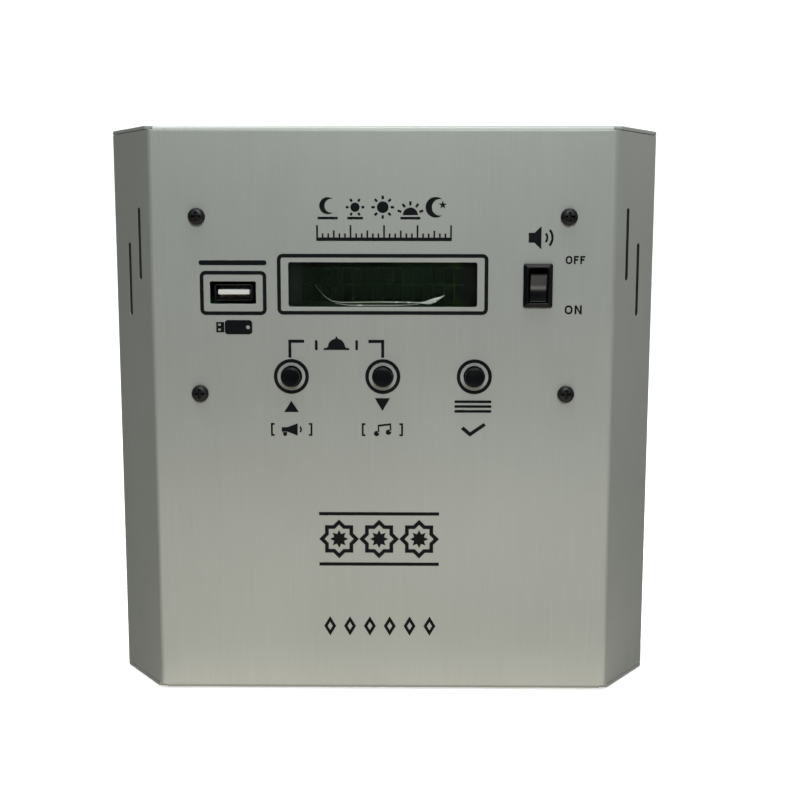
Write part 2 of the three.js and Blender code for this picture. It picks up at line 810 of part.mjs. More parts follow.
function addDisplay() {
  const pane = plate(rectangle(windowWidth, windowHeight, windowCorner, 0, displayRise), [sheet, windowBack]);
  addPiece(shell, 'display_window', pane, clearPlastic);

  const cavity = [
    span(lcdBezelWidth - lcdBezelSheet * 2),
    [lcdFront + lcdBezelSheet, lcdBoardFront + overrun],
    span(lcdBezelHeight - lcdBezelSheet * 2, displayRise),
  ];
  const box = block(span(lcdBezelWidth), [lcdFront, lcdBoardFront], span(lcdBezelHeight, displayRise));
  const view = plate(rectangle(lcdViewWidth, lcdViewHeight, 0, 0, displayRise), [0, lcdBoardFront]);
  addPiece(shell, 'lcd_bezel', join([cut(box, [block(...cavity), view]), ...lcdLegs(0)]), blackSteel);

  const glassFront = lcdFront + lcdBezelSheet + pressGap;
  const glassBack = glassFront + lcdGlassThick;
  const innerWide = span(lcdBezelWidth - lcdBezelSheet * 2 - fitGap * 2);
  const innerHigh = span(lcdBezelHeight - lcdBezelSheet * 2 - fitGap * 2, displayRise);
  addPiece(shell, 'lcd_glass', block(innerWide, [glassFront, glassBack], innerHigh), displayGlass);
  const backlight = block(innerWide, [glassBack + pressGap, lcdBoardFront - pressGap], innerHigh);
  addPiece(shell, 'lcd_backlight', backlight, whitePlastic);

  const through = [lcdBoardFront - overrun, lcdBoardBack + overrun];
  const holes = [
    ...lcdHolePlaces().map(([x, , z]) => rod(lcdHoleRadius, through, x, z, smallSides)),
    lcdPinSlot(through),
    ...lcdLegs(fitGap),
  ];
  const board = block(
    span(lcdBoardWidth),
    [lcdBoardFront, lcdBoardBack],
    span(lcdBoardHeight, displayRise),
  );
  addPiece(shell, 'lcd_board', cut(board, holes), boardBlue);

  const pinEnds = [lcdBoardFront - pinStickOut, controlBack + pinStickOut];
  const pins = lcdPinPlaces().map(([x, , z]) => block(span(pinSide, x), pinEnds, span(pinSide, z)));
  const [first] = lcdPinPlaces();
  const stripWide = [first[0] - pinPitch / 2, first[0] + (lcdPins - 1 / 2) * pinPitch];
  const strip = block(stripWide, [lcdBoardBack, controlFront], span(pinPitch, first[2]));
  addPiece(shell, 'lcd_pin_header', join([strip, ...pins]), blackPlastic);
}

// Push buttons

function addButton(name, x) {
  const group = addGroup(x, 0, buttonRise);
  const bodyFront = controlFront - switchHigh;
  const capBack = bodyFront - buttonTravel - fitGap;
  const plungerFront = capBack - plungerGrip;
  const wellBack = bodyFront + plungerInside + buttonTravel + fitGap;
  const side = span(plungerSide);
  const room = span(plungerSide + pressGap * 2);

  const profile = [
    [0, -buttonProud],
    [buttonRadius - buttonRound, -buttonProud],
    [buttonRadius - buttonRound * (1 - Math.SQRT1_2), -buttonProud + buttonRound * (1 - Math.SQRT1_2)],
    [buttonRadius, -buttonProud + buttonRound],
    [buttonRadius, capBack],
    [0, capBack],
  ];
  const bore = block(room, [plungerFront - pressGap, capBack + overrun], room);
  addPiece(group, `${name}_button`, turned(profile, roundSides).subtract(bore), blackPlastic);
  const plunger = block(side, [plungerFront, bodyFront + plungerInside], side);
  addPiece(group, `${name}_plunger`, plunger, whitePlastic);

  const well = block(span(plungerSide + fitGap * 2), [0, wellBack], span(plungerSide + fitGap * 2));
  const body = block(span(switchSide), [bodyFront, controlFront], span(switchSide));
  addPiece(group, `${name}_switch_body`, body.subtract(well), blackPlastic);
}

// USB socket

function addUsbSocket() {
  const group = addGroup(usbX, 0, usbRise);
  const outer = block(span(usbShellWidth), [usbMouthDepth, controlFront], span(usbShellHeight));
  const innerWidth = usbShellWidth - usbShellSheet * 2;
  const innerHeight = usbShellHeight - usbShellSheet * 2;
  const inner = block(span(innerWidth), [0, controlFront + overrun], span(innerHeight));
  addPiece(group, 'usb_shell', outer.subtract(inner), zinc);

  const baseFront = controlFront - usbBaseHigh;
  const baseWide = span(innerWidth - pressGap * 2);
  const base = block(baseWide, [baseFront, controlFront], span(innerHeight - pressGap * 2));
  const tip = usbMouthDepth + usbTongueInset;
  const tongue = block(span(usbTongueWidth), [tip, controlFront], span(usbTongueThick, usbTongueRise));
  const under = usbTongueRise - usbTongueThick / 2;
  const contacts = Array.from({ length: usbContacts }, (_, i) => {
    const x = (i - (usbContacts - 1) / 2) * usbContactPitch;
    const thick = [under - usbContactThick, under + pressGap];
    return block(span(usbContactWide, x), [tip + usbContactWide, baseFront], thick);
  });
  addPiece(group, 'usb_insulator', join([base, tongue, ...contacts]), whitePlastic);
}

// Rocker switch

const rockerPivotY = rockerPivotDeep - rockerValley;

function rockerProfile() {
  const end = rockerPivotDeep + rockerHalfLong * Math.tan(rockerTurn);
  const shoulder = rockerHalfLong * rockerShoulderShare;
  return roundedShape([
    [-end, -rockerHalfLong, 0],
    [rockerShoulder, -shoulder, 0],
    [rockerHeel, -rockerHeelHalf, 0],
    [rockerHeel, rockerHeelHalf, 0],
    [rockerShoulder, shoulder, 0],
    [-end, rockerHalfLong, 0],
    [-rockerPivotDeep, 0, rockerValleyRound],
  ]);
}

function trunnion(radius, long) {
  const geometry = new THREE.CylinderGeometry(radius, radius, rockerWide + long * 2, smallSides);
  return geometry.rotateZ(Math.PI / 2);
}

function addRockerSwitch() {
  const group = addGroup(rockerX, 0, rockerRise);
  const bezelBase = rockerBevelHigh - rockerBezelProud;
  const bezel = block(span(rockerBezelWidth), [bezelBase, 0], span(rockerBezelHeight));
  const bevelRange = [-rockerBezelProud, bezelBase];
  const bevel = taperedBlock(rockerBezelWidth, rockerBezelHeight, bevelRange, rockerBevel);
  const body = block(span(rockerBodyWidth), [0, rockerBodyDepth], span(rockerBodyHeight));
  const well = block(
    span(rockerWide + fitGap * 2),
    [-rockerBezelProud - overrun, rockerWell],
    span(rockerCavityHalf * 2),
  );
  const bore = trunnion(trunnionRadius + pressGap * 2, rockerBodyWidth);
  const bearing = solidOf(bore.translate(0, rockerPivotY, 0));
  const housing = cut(join([bezel, bevel, body]), [well, bearing]);
  addPiece(group, 'rocker_housing', housing, blackPlastic);

  const pivot = addGroup(0, rockerPivotY, 0, group);
  pivot.rotation.x = rockerTurn;
  const pins = solidOf(trunnion(trunnionRadius, trunnionLong));
  const actuator = join([bar(rockerProfile(), span(rockerWide)), pins]);
  addPiece(pivot, 'rocker_actuator', actuator, blackPlastic);
}

// Speaker. Its group lies on the inside of the rear cover, and the speaker reaches towards -y.

function addSpeaker() {
  const group = addGroup(speakerX, rearInner, speakerRise);
  const flange = plate(rectangle(speakerSide, speakerSide, speakerCorner), [-speakerSheet, 0]);
  const mouth = rod(speakerMouth, [-basketDeep, overrun], 0, 0, roundSides);
  const basket = turned([
    [0, -basketDeep],
    [basketNarrow, -basketDeep],
    [speakerMouth + speakerSheet, -speakerSheet],
    [0, -speakerSheet],
  ], roundSides);
  const inside = turned([
    [0, speakerSheet - basketDeep],
    [basketNarrow - speakerSheet, speakerSheet - basketDeep],
    [speakerMouth, -speakerSheet],
    [speakerMouth, overrun],
    [0, overrun],
  ], roundSides);
  const holes = speakerHolePlaces().map(([x, , z]) => rod(
    threadHole,
    [-basketDeep, overrun],
    x - speakerX,
    z - speakerRise,
    smallSides,
  ));
  const frame = cut(join([flange.subtract(mouth), basket]), [inside, ...holes]);
  addPiece(group, 'speaker_frame', frame, blackSteel);

  const rim = speakerMouth - fitGap;
  const coneFloor = rimDeep + coneDeep;
  const cone = turned([
    [0, dustCapRise - coneFloor],
    [coneNarrow / 2, dustCapRise - coneFloor - coneSheet],
    [coneNarrow, -coneFloor],
    [rim - rimWide, -rimDeep],
    [rim, -rimDeep],
    [rim, -rimDeep - coneSheet],
    [rim - rimWide, -rimDeep - coneSheet],
    [coneNarrow, -coneFloor - coneSheet],
    [0, -coneFloor - coneSheet],
  ], roundSides);
  addPiece(group, 'speaker_cone', cone, paperCone);
  const magnet = rod(magnetRadius, [-basketDeep - magnetDeep, -basketDeep], 0, 0, roundSides);
  addPiece(group, 'speaker_magnet', magnet, coreSteel);
}

// Audio output sockets: two metal sockets in one moulded block behind the rear cover. The group's y = 0 is
// the outside of the cover.

function addAudioSockets() {
  const group = addGroup(socketX, caseDepth, audioRise);
  const middle = audioSpacing / 2;
  const sockets = [-1, 1].map((side) => side * middle);
  const metal = turned([
    [audioBarrelBore, -audioBarrelLong],
    [audioBarrelRadius, -audioBarrelLong],
    [audioBarrelRadius, 0],
    [audioFlangeRadius, 0],
    [audioFlangeRadius, audioFlangeThick],
    [audioShellRadius, audioFlangeThick],
    [audioShellRadius, audioShellLong],
    [audioShellBore, audioShellLong],
    [audioShellBore, audioFloor],
    [audioBarrelBore, audioFloor],
    [audioBarrelBore, -audioBarrelLong],
  ]);
  addPiece(group, 'audio_socket_left', metal, goldPlate, [sockets[0], 0, 0]);
  addPiece(group, 'audio_socket_right', metal, goldPlate, [sockets[1], 0, 0]);

  const blockBack = -sheet - audioBlockDeep;
  const body = block(span(audioBlockWidth), [blockBack, -sheet], span(audioBlockHigh));
  const barrels = sockets.map((x) => rod(audioBarrelRadius + pressGap, [-audioBarrelLong - pressGap, 0], x));
  const core = turned([
    [0, -audioBarrelLong - fitGap],
    [audioBarrelBore - pressGap, -audioBarrelLong - fitGap],
    [audioBarrelBore - pressGap, audioFloor + pressGap],
    [audioShellBore - pressGap, audioFloor + pressGap],
    [audioShellBore - pressGap, audioFace],
    [audioPinBore, audioFace],
    [audioPinBore, audioFace - audioPinDeep],
    [0, audioFace - audioPinDeep],
  ]);
  const cores = sockets.map((x) => solidOf(geometryOf(core).translate(x, 0, 0)));
  addPiece(group, 'audio_socket_block', join([cut(body, barrels), ...cores]), blackPlastic);
}

// Mains inlet. The group's y = 0 is the outside of the rear cover.

function addMainsInlet() {
  const group = addGroup(socketX, caseDepth, inletRise);
  const outline = rectangle(inletFlangeWidth, inletFlangeHeight, inletFlangeCorner);
  const flange = plate(outline, [0, inletFlangeThick]);
  const body = block(span(inletBodyWidth), [-inletBodyDeep, 0], span(inletBodyHeight));
  const wellFloor = inletFlangeThick - inletWellDeep;
  const wellOutline = rectangle(inletWellWidth, inletWellHeight, inletWellHeight / 2);
  const well = plate(wellOutline, [wellFloor, inletFlangeThick + overrun]);
  const pins = [-1, 1].map((side) => rod(
    inletPinRadius,
    [wellFloor - overrun, wellFloor + inletPinLong],
    (side * inletPinSpread) / 2,
    0,
    smallSides,
  ));
  addPiece(group, 'mains_inlet', join([flange.add(body).subtract(well), ...pins]), blackPlastic);
}

// Main board and what stands on it. In its group y = 0 is the board's front, and parts stand towards -y.

const board = addGroup(mainBoardX, mainFront, mainBoardRise);

function addMainBoard() {
  const places = mainHolePlaces().map(([x, , z]) => [x - mainBoardX, 0, z - mainBoardRise]);
  const sheetRange = [0, boardThick];
  const outline = block(span(mainBoardWidth), sheetRange, span(mainBoardHeight));
  const holes = places.map(([x, , z]) => rod(threadHole, [-overrun, boardThick + overrun], x, z, smallSides));
  addPiece(board, 'main_board', cut(outline, holes), boardGreen);
}

function addTransformer() {
  const group = addGroup(transformerX, 0, transformerRise, board);
  const foot = bobbinWall + fitGap;
  const top = -foot - coreHigh;
  const windowWide = (coreWidth - coreLeg) / 2 - coreLimb;
  const windows = [-1, 1].map((side) => block(
    span(windowWide, side * (coreLeg + windowWide) / 2),
    [top + coreLimb, -foot - coreLimb],
    span(coreThick + overrun),
  ));
  const core = cut(block(span(coreWidth), [top, -foot], span(coreThick)), windows);
  addPiece(group, 'transformer_core', core, coreSteel);

  const legGap = fitGap * 2;
  const tube = [top + coreLimb + fitGap, -foot - coreLimb - fitGap];
  const hollow = block(span(coreLeg + legGap), [top, 0], span(coreThick + legGap));
  const spoolWide = coreLeg + legGap + bobbinWall * 2;
  const spoolThick = coreThick + legGap + bobbinWall * 2;
  const flangeWide = coreLeg + windowWide * 2 - legGap;
  const flangeThick = coreThick + legGap + windingOut * 2;
  const spool = join([
    block(span(spoolWide), tube, span(spoolThick)),
    block(span(flangeWide), [tube[0], tube[0] + bobbinWall], span(flangeThick)),
    block(span(flangeWide), [tube[1] - bobbinWall, tube[1]], span(flangeThick)),
  ]);
  const feet = [-1, 1].map((side) => {
    const z = side * (flangeThick - bobbinWall) / 2;
    return block(span(flangeWide), [tube[1] - bobbinWall, 0], span(bobbinWall, z));
  });
  addPiece(group, 'transformer_bobbin', join([spool.subtract(hollow), ...feet]), blackPlastic);

  const turnsRange = [tube[0] + bobbinWall + pressGap, tube[1] - bobbinWall - pressGap];
  const turns = block(span(flangeWide - legGap), turnsRange, span(flangeThick - bobbinWall * 2));
  const former = block(span(spoolWide + pressGap * 2), [top, 0], span(spoolThick + pressGap * 2));
  addPiece(group, 'transformer_winding', turns.subtract(former), windingTape);
}

function addFuse() {
  const group = addGroup(transformerX, -fuseLift, fuseRise, board);
  const half = fuseLong / 2;
  const profile = [
    [0, -half],
    [fuseCapRadius, -half],
    [fuseCapRadius, fuseCapLong - half],
    [fuseRadius, fuseCapLong - half],
    [fuseRadius, half - fuseCapLong],
    [fuseCapRadius, half - fuseCapLong],
    [fuseCapRadius, half],
    [0, half],
  ];
  const tube = geometryOf(turned(profile, smallSides)).rotateZ(Math.PI / 2);
  addPiece(group, 'fuse', solidOf(tube), fuseGlass);

  const inner = fuseCapRadius + pressGap;
  const outer = inner + clipSheet;
  const clips = [-1, 1].map((side) => {
    const x = span(clipLong, side * (half - fuseCapLong / 2));
    return block(x, [-fuseCapRadius, fuseLift], span(outer * 2));
  });
  const foot = block(span(fuseLong), [fuseLift - holderFloor, fuseLift], span(outer * 2));
  const room = block(span(fuseLong * 2), [-fuseLift, inner], span(inner * 2));
  const under = block(span(fuseLong * 2), [-fuseLift, fuseLift - holderFloor], span(inner * 2));
  addPiece(group, 'fuse_holder', cut(join([...clips, foot]), [room, under]), zinc);
}

function addCapacitors() {
  const profile = [
    [0, -capacitorHigh],
    [capacitorRadius - capacitorRound, -capacitorHigh],
    [capacitorRadius, -capacitorHigh + capacitorRound],
    [capacitorRadius, 0],
    [0, 0],
  ];
  const places = Array.from({ length: capacitorCount }, (_, i) => [
    capacitorX,
    0,
    capacitorRise - i * capacitorPitch,
  ]);
  addCopies(board, 'capacitor', turned(profile, holeSides), capacitorSleeve, places);
}

function addRegulator() {
  const group = addGroup(capacitorX, 0, regulatorRise, board);
  const bodyRange = [-regulatorLegHigh - regulatorBodyHigh, -regulatorLegHigh];
  const body = block(span(regulatorWidth), bodyRange, [0, regulatorThick]);
  const tabRange = [bodyRange[0] - regulatorTabHigh, bodyRange[0]];
  const tab = block(span(regulatorWidth), tabRange, [0, regulatorTabThick]);
  const legs = [-1, 0, 1].map((i) => block(
    span(regulatorLegSide, i * regulatorLegPitch),
    [-regulatorLegHigh, 0],
    span(regulatorLegSide, regulatorThick / 2),
  ));
  addPiece(group, 'regulator', join([body, tab, ...legs]), chipPlastic);

  const base = block(span(heatsinkWidth), [-heatsinkHigh, 0], [-heatsinkSheet, 0]);
  const fins = Array.from({ length: heatsinkFins }, (_, i) => {
    const x = -heatsinkWidth / 2 + (i * (heatsinkWidth - heatsinkSheet)) / (heatsinkFins - 1);
    return block([x, x + heatsinkSheet], [-heatsinkHigh, 0], [-heatsinkDeep, 0]);
  });
  addPiece(group, 'heatsink', join([base, ...fins]), blackSteel);
}

function chip() {
  const body = block(span(chipLong), [-chipLift - chipThick, -chipLift], span(chipWide));
  const pitch = (chipLong - chipLegSide * 2) / chipLegsPerSide;
  const legs = Array.from({ length: chipLegsPerSide }, (_, i) => {
    const x = (i - (chipLegsPerSide - 1) / 2) * pitch;
    return [-1, 1].map((side) => {
      const z = [chipWide / 2 - chipLegSide, chipLegSpread / 2].map((edge) => side * edge);
      return block(span(chipLegSide, x), [-chipLegHigh, 0], z.sort((p, q) => p - q));
    });
  });
  return join([body, ...legs.flat()]);
}

function addChips() {
  addPiece(addGroup(chipX, 0, microcontrollerRise, board), 'microcontroller', chip(), chipPlastic);
  addPiece(addGroup(chipX, 0, decoderRise, board), 'audio_decoder', chip(), chipPlastic);
}

function addBattery() {
  const group = addGroup(batteryX, 0, batteryRise, board);
  const outer = rod(cellRadius + fitGap + holderWall, [-holderHigh, 0], 0, 0, roundSides);
  const inner = rod(cellRadius + fitGap, [-holderHigh - overrun, -holderFloor], 0, 0, roundSides);
  const notch = block([0, cellRadius * 2], [-holderHigh - overrun, -holderFloor], span(holderNotchHalf * 2));
  addPiece(group, 'battery_holder', cut(outer, [inner, notch]), blackPlastic);
  const cell = rod(cellRadius, [-holderFloor - cellThick, -holderFloor], 0, 0, roundSides);
  addPiece(group, 'coin_cell', cell, zinc);
}

// Ribbon cable with its plugs and headers

// A header standing from a board's face at y, towards -y when the sign is negative
function boxHeader(y, sign, z) {
  const far = [y, y + sign * boxHeaderHigh].sort((p, q) => p - q);
  const well = [y + sign * boxHeaderFloor, y + sign * (boxHeaderHigh + overrun)].sort((p, q) => p - q);
  const outer = block(span(boxHeaderWidth, ribbonX), far, span(boxHeaderThick, z));
  return outer.subtract(block(
    span(boxHeaderWidth - boxHeaderWall * 2, ribbonX),
    well,
    span(boxHeaderThick - boxHeaderWall * 2, z),
  ));
}

function ribbonPlug(y, sign, z) {
  const ends = [y + sign * (boxHeaderFloor + fitGap), y + sign * (boxHeaderHigh + ribbonPlugOut)];
  return block(
    span(boxHeaderWidth - boxHeaderWall * 2 - fitGap * 2, ribbonX),
    ends.sort((p, q) => p - q),
    span(boxHeaderThick - boxHeaderWall * 2 - fitGap * 2, z),
  );
}

function ribbonBand(start, end) {
  const curve = new THREE.CubicBezierCurve(
    new THREE.Vector2(start.y, start.z),
    new THREE.Vector2(start.y + ribbonReach, start.z),
    new THREE.Vector2(end.y - ribbonReach, end.z),
    new THREE.Vector2(end.y, end.z),
  );
  const side = (sign) => Array.from({ length: ribbonSteps + 1 }, (_, i) => {
    const point = curve.getPoint(i / ribbonSteps);
    const along = curve.getTangent(i / ribbonSteps);
    return [point.x - (along.y * sign * ribbonThick) / 2, point.y + (along.x * sign * ribbonThick) / 2, 0];
  });
  return bar(roundedShape([...side(-1), ...side(1).reverse()]), span(ribbonWidth, ribbonX));
}

function addRibbon() {
  const mainRise = mainBoardRise + ribbonMainRise;
  addPiece(shell, 'control_header', boxHeader(controlBack, 1, ribbonRise), blackPlastic);
  addPiece(shell, 'main_header', boxHeader(mainFront, -1, mainRise), blackPlastic);
  const start = { y: controlBack + boxHeaderHigh + ribbonPlugOut - ribbonThick, z: ribbonRise };
  const end = { y: mainFront - boxHeaderHigh - ribbonPlugOut + ribbonThick, z: mainRise };
  const plugs = [ribbonPlug(controlBack, 1, ribbonRise), ribbonPlug(mainFront, -1, mainRise)];
  addPiece(shell, 'ribbon_cable', join([ribbonBand(start, end), ...plugs]), ribbonGrey);
}

// Twin leads inside the case. Each has a boot where it starts and a plug where it ends.

// Two round cores side by side, drawn as one outline that meets itself at the necks between them
function twinSection() {
  const section = new THREE.Shape();
  const neckAngle = Math.acos(-coreOffsetShare);
  [-1, 1].forEach((side) => {
    for (let i = 0; i < coreSides; i += 1) {
      const angle = neckAngle * (2 * i / coreSides - 1) + (side < 0 ? Math.PI : 0);
      const x = (side * coreOffsetShare + Math.cos(angle)) * wireRadius;
      const y = Math.sin(angle) * wireRadius;
      if (side < 0 && i === 0) section.moveTo(x, y);
      else section.lineTo(x, y);
    }
  });
  section.closePath();
  return section;
}

// A lead that leaves both of its ends along y, on the side that the reach's sign gives
function twinLead(start, end, reach) {
  const [from, to] = [start, end].map((point) => new THREE.Vector3(...point));
  const out = new THREE.Vector3(0, reach, 0);
  const path = new THREE.CubicBezierCurve3(from, from.clone().add(out), to.clone().add(out), to);
  const options = { steps: wireSteps, bevelEnabled: false, extrudePath: path };
  return solidOf(new THREE.ExtrudeGeometry(twinSection(), options));
}

// A lead from a boot at the first place, first towards -y, over to a plug on the main board
function boardLead([x, y, z], [plugX, plugZ], bootHeight = plugHeight) {
  const bootFront = y - bootHigh;
  const plugFront = mainFront - plugHigh;
  const start = [x, bootFront + wireRadius, z];
  const end = [plugX, plugFront + wireRadius, plugZ];
  const boot = block(span(plugWidth, x), [bootFront, y], span(bootHeight, z));
  const plug = block(span(plugWidth, plugX), [plugFront, mainFront], span(plugHeight, plugZ));
  return join([twinLead(start, end, -wireReach), boot, plug]);
}

function addLeads() {
  const inletBack = caseDepth - inletBodyDeep;
  const mainsPlug = [mainBoardX + sidePlugX, mainBoardRise + mainsPlugRise];
  const mainsLead = boardLead([socketX, inletBack, inletRise], mainsPlug);
  addPiece(shell, 'mains_lead', mainsLead, mainsWire);

  const audioBack = rearInner - audioBlockDeep;
  const audioPlug = [mainBoardX + sidePlugX, mainBoardRise + audioPlugRise];
  addPiece(shell, 'audio_lead', boardLead([socketX, audioBack, audioRise], audioPlug), signalWire);

  const speakerPlug = [mainBoardX + speakerPlugX, mainBoardRise + speakerPlugRise];
  const tag = [speakerX, rearInner - speakerSheet, speakerRise - (speakerSide - speakerTagHigh) / 2];
  addPiece(shell, 'speaker_lead', boardLead(tag, speakerPlug, speakerTagHigh), signalWire);

  const bootBack = rockerBodyDepth + bootHigh;
  const padFront = controlBack + plugHigh / 2;
  const start = [rockerX, bootBack - wireRadius, rockerRise];
  const end = [switchPadX, padFront - wireRadius, rockerRise];
  const boot = block(span(plugHeight, rockerX), [rockerBodyDepth, bootBack], span(plugWidth, rockerRise));
  const plug = block(span(plugWidth, switchPadX), [controlBack, padFront], span(plugHeight, rockerRise));
  addPiece(shell, 'switch_lead', join([twinLead(start, end, wireReach), boot, plug]), signalWire);
}

addCase();
addControlBoard();
addDisplay();
addButton('up', -buttonPitch);
addButton('down', 0);
addButton('menu', buttonPitch);
addUsbSocket();
addRockerSwitch();
addSpeaker();
addAudioSockets();
addMainsInlet();
addMainBoard();
addTransformer();
addFuse();
addCapacitors();
addRegulator();
addChips();
addBattery();
addRibbon();
addLeads();

export default clock;
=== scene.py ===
import math

import bmesh
import bpy
from mathutils import Matrix, Vector


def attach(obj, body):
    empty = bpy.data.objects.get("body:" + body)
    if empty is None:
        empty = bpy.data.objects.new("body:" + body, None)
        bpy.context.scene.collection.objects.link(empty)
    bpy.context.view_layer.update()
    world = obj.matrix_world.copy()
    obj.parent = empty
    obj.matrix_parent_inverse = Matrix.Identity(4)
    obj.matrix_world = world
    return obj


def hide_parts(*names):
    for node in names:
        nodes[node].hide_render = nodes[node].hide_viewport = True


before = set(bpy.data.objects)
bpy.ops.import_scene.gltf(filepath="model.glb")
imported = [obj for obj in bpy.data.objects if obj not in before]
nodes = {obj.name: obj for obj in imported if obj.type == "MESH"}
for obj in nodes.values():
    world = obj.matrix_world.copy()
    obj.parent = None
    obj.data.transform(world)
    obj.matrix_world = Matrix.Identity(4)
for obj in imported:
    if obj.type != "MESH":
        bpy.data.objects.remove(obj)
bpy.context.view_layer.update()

# Sizes are in millimetres. x runs to the right, depth runs back from the face, z runs up from the floor.
MM = 0.001
FACE_Y = -30
MID_Z = 100

# Case: sheet metal, with the outer radius of its bends and how far its cut edges are broken
SHEET = 1.2
BEND = 2.1
EDGE = 0.13
DEEP = 60
HALF_FACE = 80
HALF_HIGH = 100
FACET_ACROSS = 18
FACET_DEEP = 24.3
WALL_TOP = 98.6
CHANNEL_HALF = 78.6

# Rear cover, which slides into the case
REAR_HALF_WIDE = 96.5
REAR_HALF_HIGH = 98.5
REAR_FLANGE = 12
REAR_SIDE_HALF = 94.9
REAR_END_HALF = 92.9


def in_scene(name, data):
    made = bpy.data.objects.new(name, data)
    bpy.context.scene.collection.objects.link(made)
    return made


# Camera, fitted to the corners of the face and the facets. Its turns are in degrees, with y down.
SENSOR = 36
PHOTO_PIXELS = 800
LENS_PIXELS = 1177.2
CAMERA_PLACE = (8.84, -439.02, 162.08)
CAMERA_TURNS = {"Z": 0.14, "Y": 0.39, "X": 7.84}


def turn(axis):
    return Matrix.Rotation(math.radians(CAMERA_TURNS[axis]), 3, axis)


camera_data = bpy.data.cameras.new("camera")
camera_data.sensor_width = SENSOR
camera_data.lens = LENS_PIXELS * SENSOR / PHOTO_PIXELS
camera_data.clip_start = 0.01
camera_data.clip_end = 50
camera = in_scene("camera", camera_data)
seen = turn("Z") @ turn("Y") @ turn("X")
right, down, forward = (Vector((row[0], row[2], -row[1])) for row in seen)
axes = Matrix((right, -down, -forward)).transposed()
camera.matrix_world = Matrix.Translation(Vector(CAMERA_PLACE) * MM) @ axes.to_4x4()
bpy.context.scene.camera = camera


# Outlines: lists of closed outlines as (x, z) points, filled where an odd number of them overlap
def arc(x, z, radius, start, end, steps):
    angles = [math.radians(start + (end - start) * i / steps) for i in range(steps + 1)]
    return [(x + radius * math.cos(a), z + radius * math.sin(a)) for a in angles]


def disc(x, z, radius, steps=40):
    return arc(x, z, radius, 0, 360, steps)[:-1]


def rounded(x, z, width, height, radius, steps=5):
    across, up = width / 2 - radius, height / 2 - radius
    corners = [(across, up, 0), (-across, up, 90), (-across, -up, 180), (across, -up, 270)]
    return [p for cx, cz, start in corners for p in arc(x + cx, z + cz, radius, start, start + 90, steps)]


def box(x0, z0, x1, z1):
    return [(x0, z0), (x1, z0), (x1, z1), (x0, z1)]


def frame_line(x0, z0, x1, z1, line=1.3, radius=2.0):
    x, z = (x0 + x1) / 2, (z0 + z1) / 2
    width, height = x1 - x0, z1 - z0
    inner = radius - line
    return [rounded(x, z, width, height, radius), rounded(x, z, width - 2 * line, height - 2 * line, inner)]


def band(x, z, radius, line, start, end, steps=16):
    outer = arc(x, z, radius + line / 2, start, end, steps)
    return outer + arc(x, z, radius - line / 2, end, start, steps)


def crescent(x, z, radius, bite=0.8, shift=0.42):
    inner = radius * bite
    gap = radius * shift
    cut = (gap ** 2 + radius ** 2 - inner ** 2) / (2 * gap)
    outer_angle = math.degrees(math.acos(cut / radius))
    inner_angle = math.degrees(math.acos((cut - gap) / inner))
    outer = arc(x, z, radius, outer_angle, 360 - outer_angle, 32)
    return outer + arc(x + gap, z, inner, 360 - inner_angle, inner_angle, 28)[1:-1]


def star(x, z, outer, inner, points, start=90):
    found = []
    for i in range(points * 2):
        angle = math.radians(start + 180 * i / points)
        radius = inner if i % 2 else outer
        found.append((x + radius * math.cos(angle), z + radius * math.sin(angle)))
    return found


def spoke(x, z, near, far, line, degrees):
    a = math.radians(degrees)
    along = Vector((math.cos(a), math.sin(a)))
    side = Vector((-along.y, along.x)) * line / 2
    middle = Vector((x, z))
    corners = [along * near - side, along * far - side, along * far + side, along * near + side]
    return [tuple(middle + c) for c in corners]


# Meshes: built in millimetres as (x, depth, z), and turned into pieces by piece()
MERGE = 0.0005


def as_mesh(name, part):
    """The part as mesh data. The part itself is freed."""
    data = bpy.data.meshes.new(name)
    part.to_mesh(data)
    part.free()
    return data


def joined(parts):
    whole = bmesh.new()
    for part in parts:
        data = as_mesh("part", part)
        whole.from_mesh(data)
        bpy.data.meshes.remove(data)
    return whole


def evaluated(holder):
    """The holder's shape with its modifiers. The holder itself is removed, and its data isn't."""
    made = bpy.data.meshes.new_from_object(holder.evaluated_get(bpy.context.evaluated_depsgraph_get()))
    bpy.data.objects.remove(holder)
    found = bmesh.new()
    found.from_mesh(made)
    bpy.data.meshes.remove(made)
    return found


def flat_plate(outlines, thick, edge=EDGE):
    """A plate in the x y plane, with its edges broken and its middle at height 0."""
    curve = bpy.data.curves.new("outline", "CURVE")
    curve.dimensions = "2D"
    curve.fill_mode = "BOTH"
    curve.extrude = thick / 2 - edge
    curve.bevel_depth = edge
    curve.bevel_resolution = 1
    curve.offset = -edge
    for outline in outlines:
        spline = curve.splines.new("POLY")
        spline.points.add(len(outline) - 1)
        for point, (x, z) in zip(spline.points, outline):
            point.co = (x, z, 0, 1)
        spline.use_cyclic_u = True
    made = evaluated(in_scene("outline", curve))
    bpy.data.curves.remove(curve)
    bmesh.ops.remove_doubles(made, verts=made.verts, dist=MERGE)
    return made


def slab(outlines, near, far, edge=EDGE):
    """An upright plate between two depths."""
    made = flat_plate(outlines, far - near, edge)
    for v in made.verts:
        v.co = (v.co.x, (near + far) / 2 - v.co.z, v.co.y)
    return made


def skin(rings, closed_ends=True, loop=False):
    """Joins rings of points in their order. A ring of one point is a tip."""
    made = bmesh.new()
    verts = [[made.verts.new(p) for p in ring] for ring in rings]
    pairs = list(zip(verts, verts[1:])) + ([(verts[-1], verts[0])] if loop else [])
    for a, b in pairs:
        count = max(len(a), len(b))
        for i in range(count):
            corners = [a[i % len(a)], a[(i + 1) % len(a)], b[(i + 1) % len(b)], b[i % len(b)]]
            made.faces.new(list(dict.fromkeys(corners)))
    if closed_ends and not loop:
        for ring in (verts[0], verts[-1]):
            if len(ring) > 2:
                made.faces.new(ring)
    return made


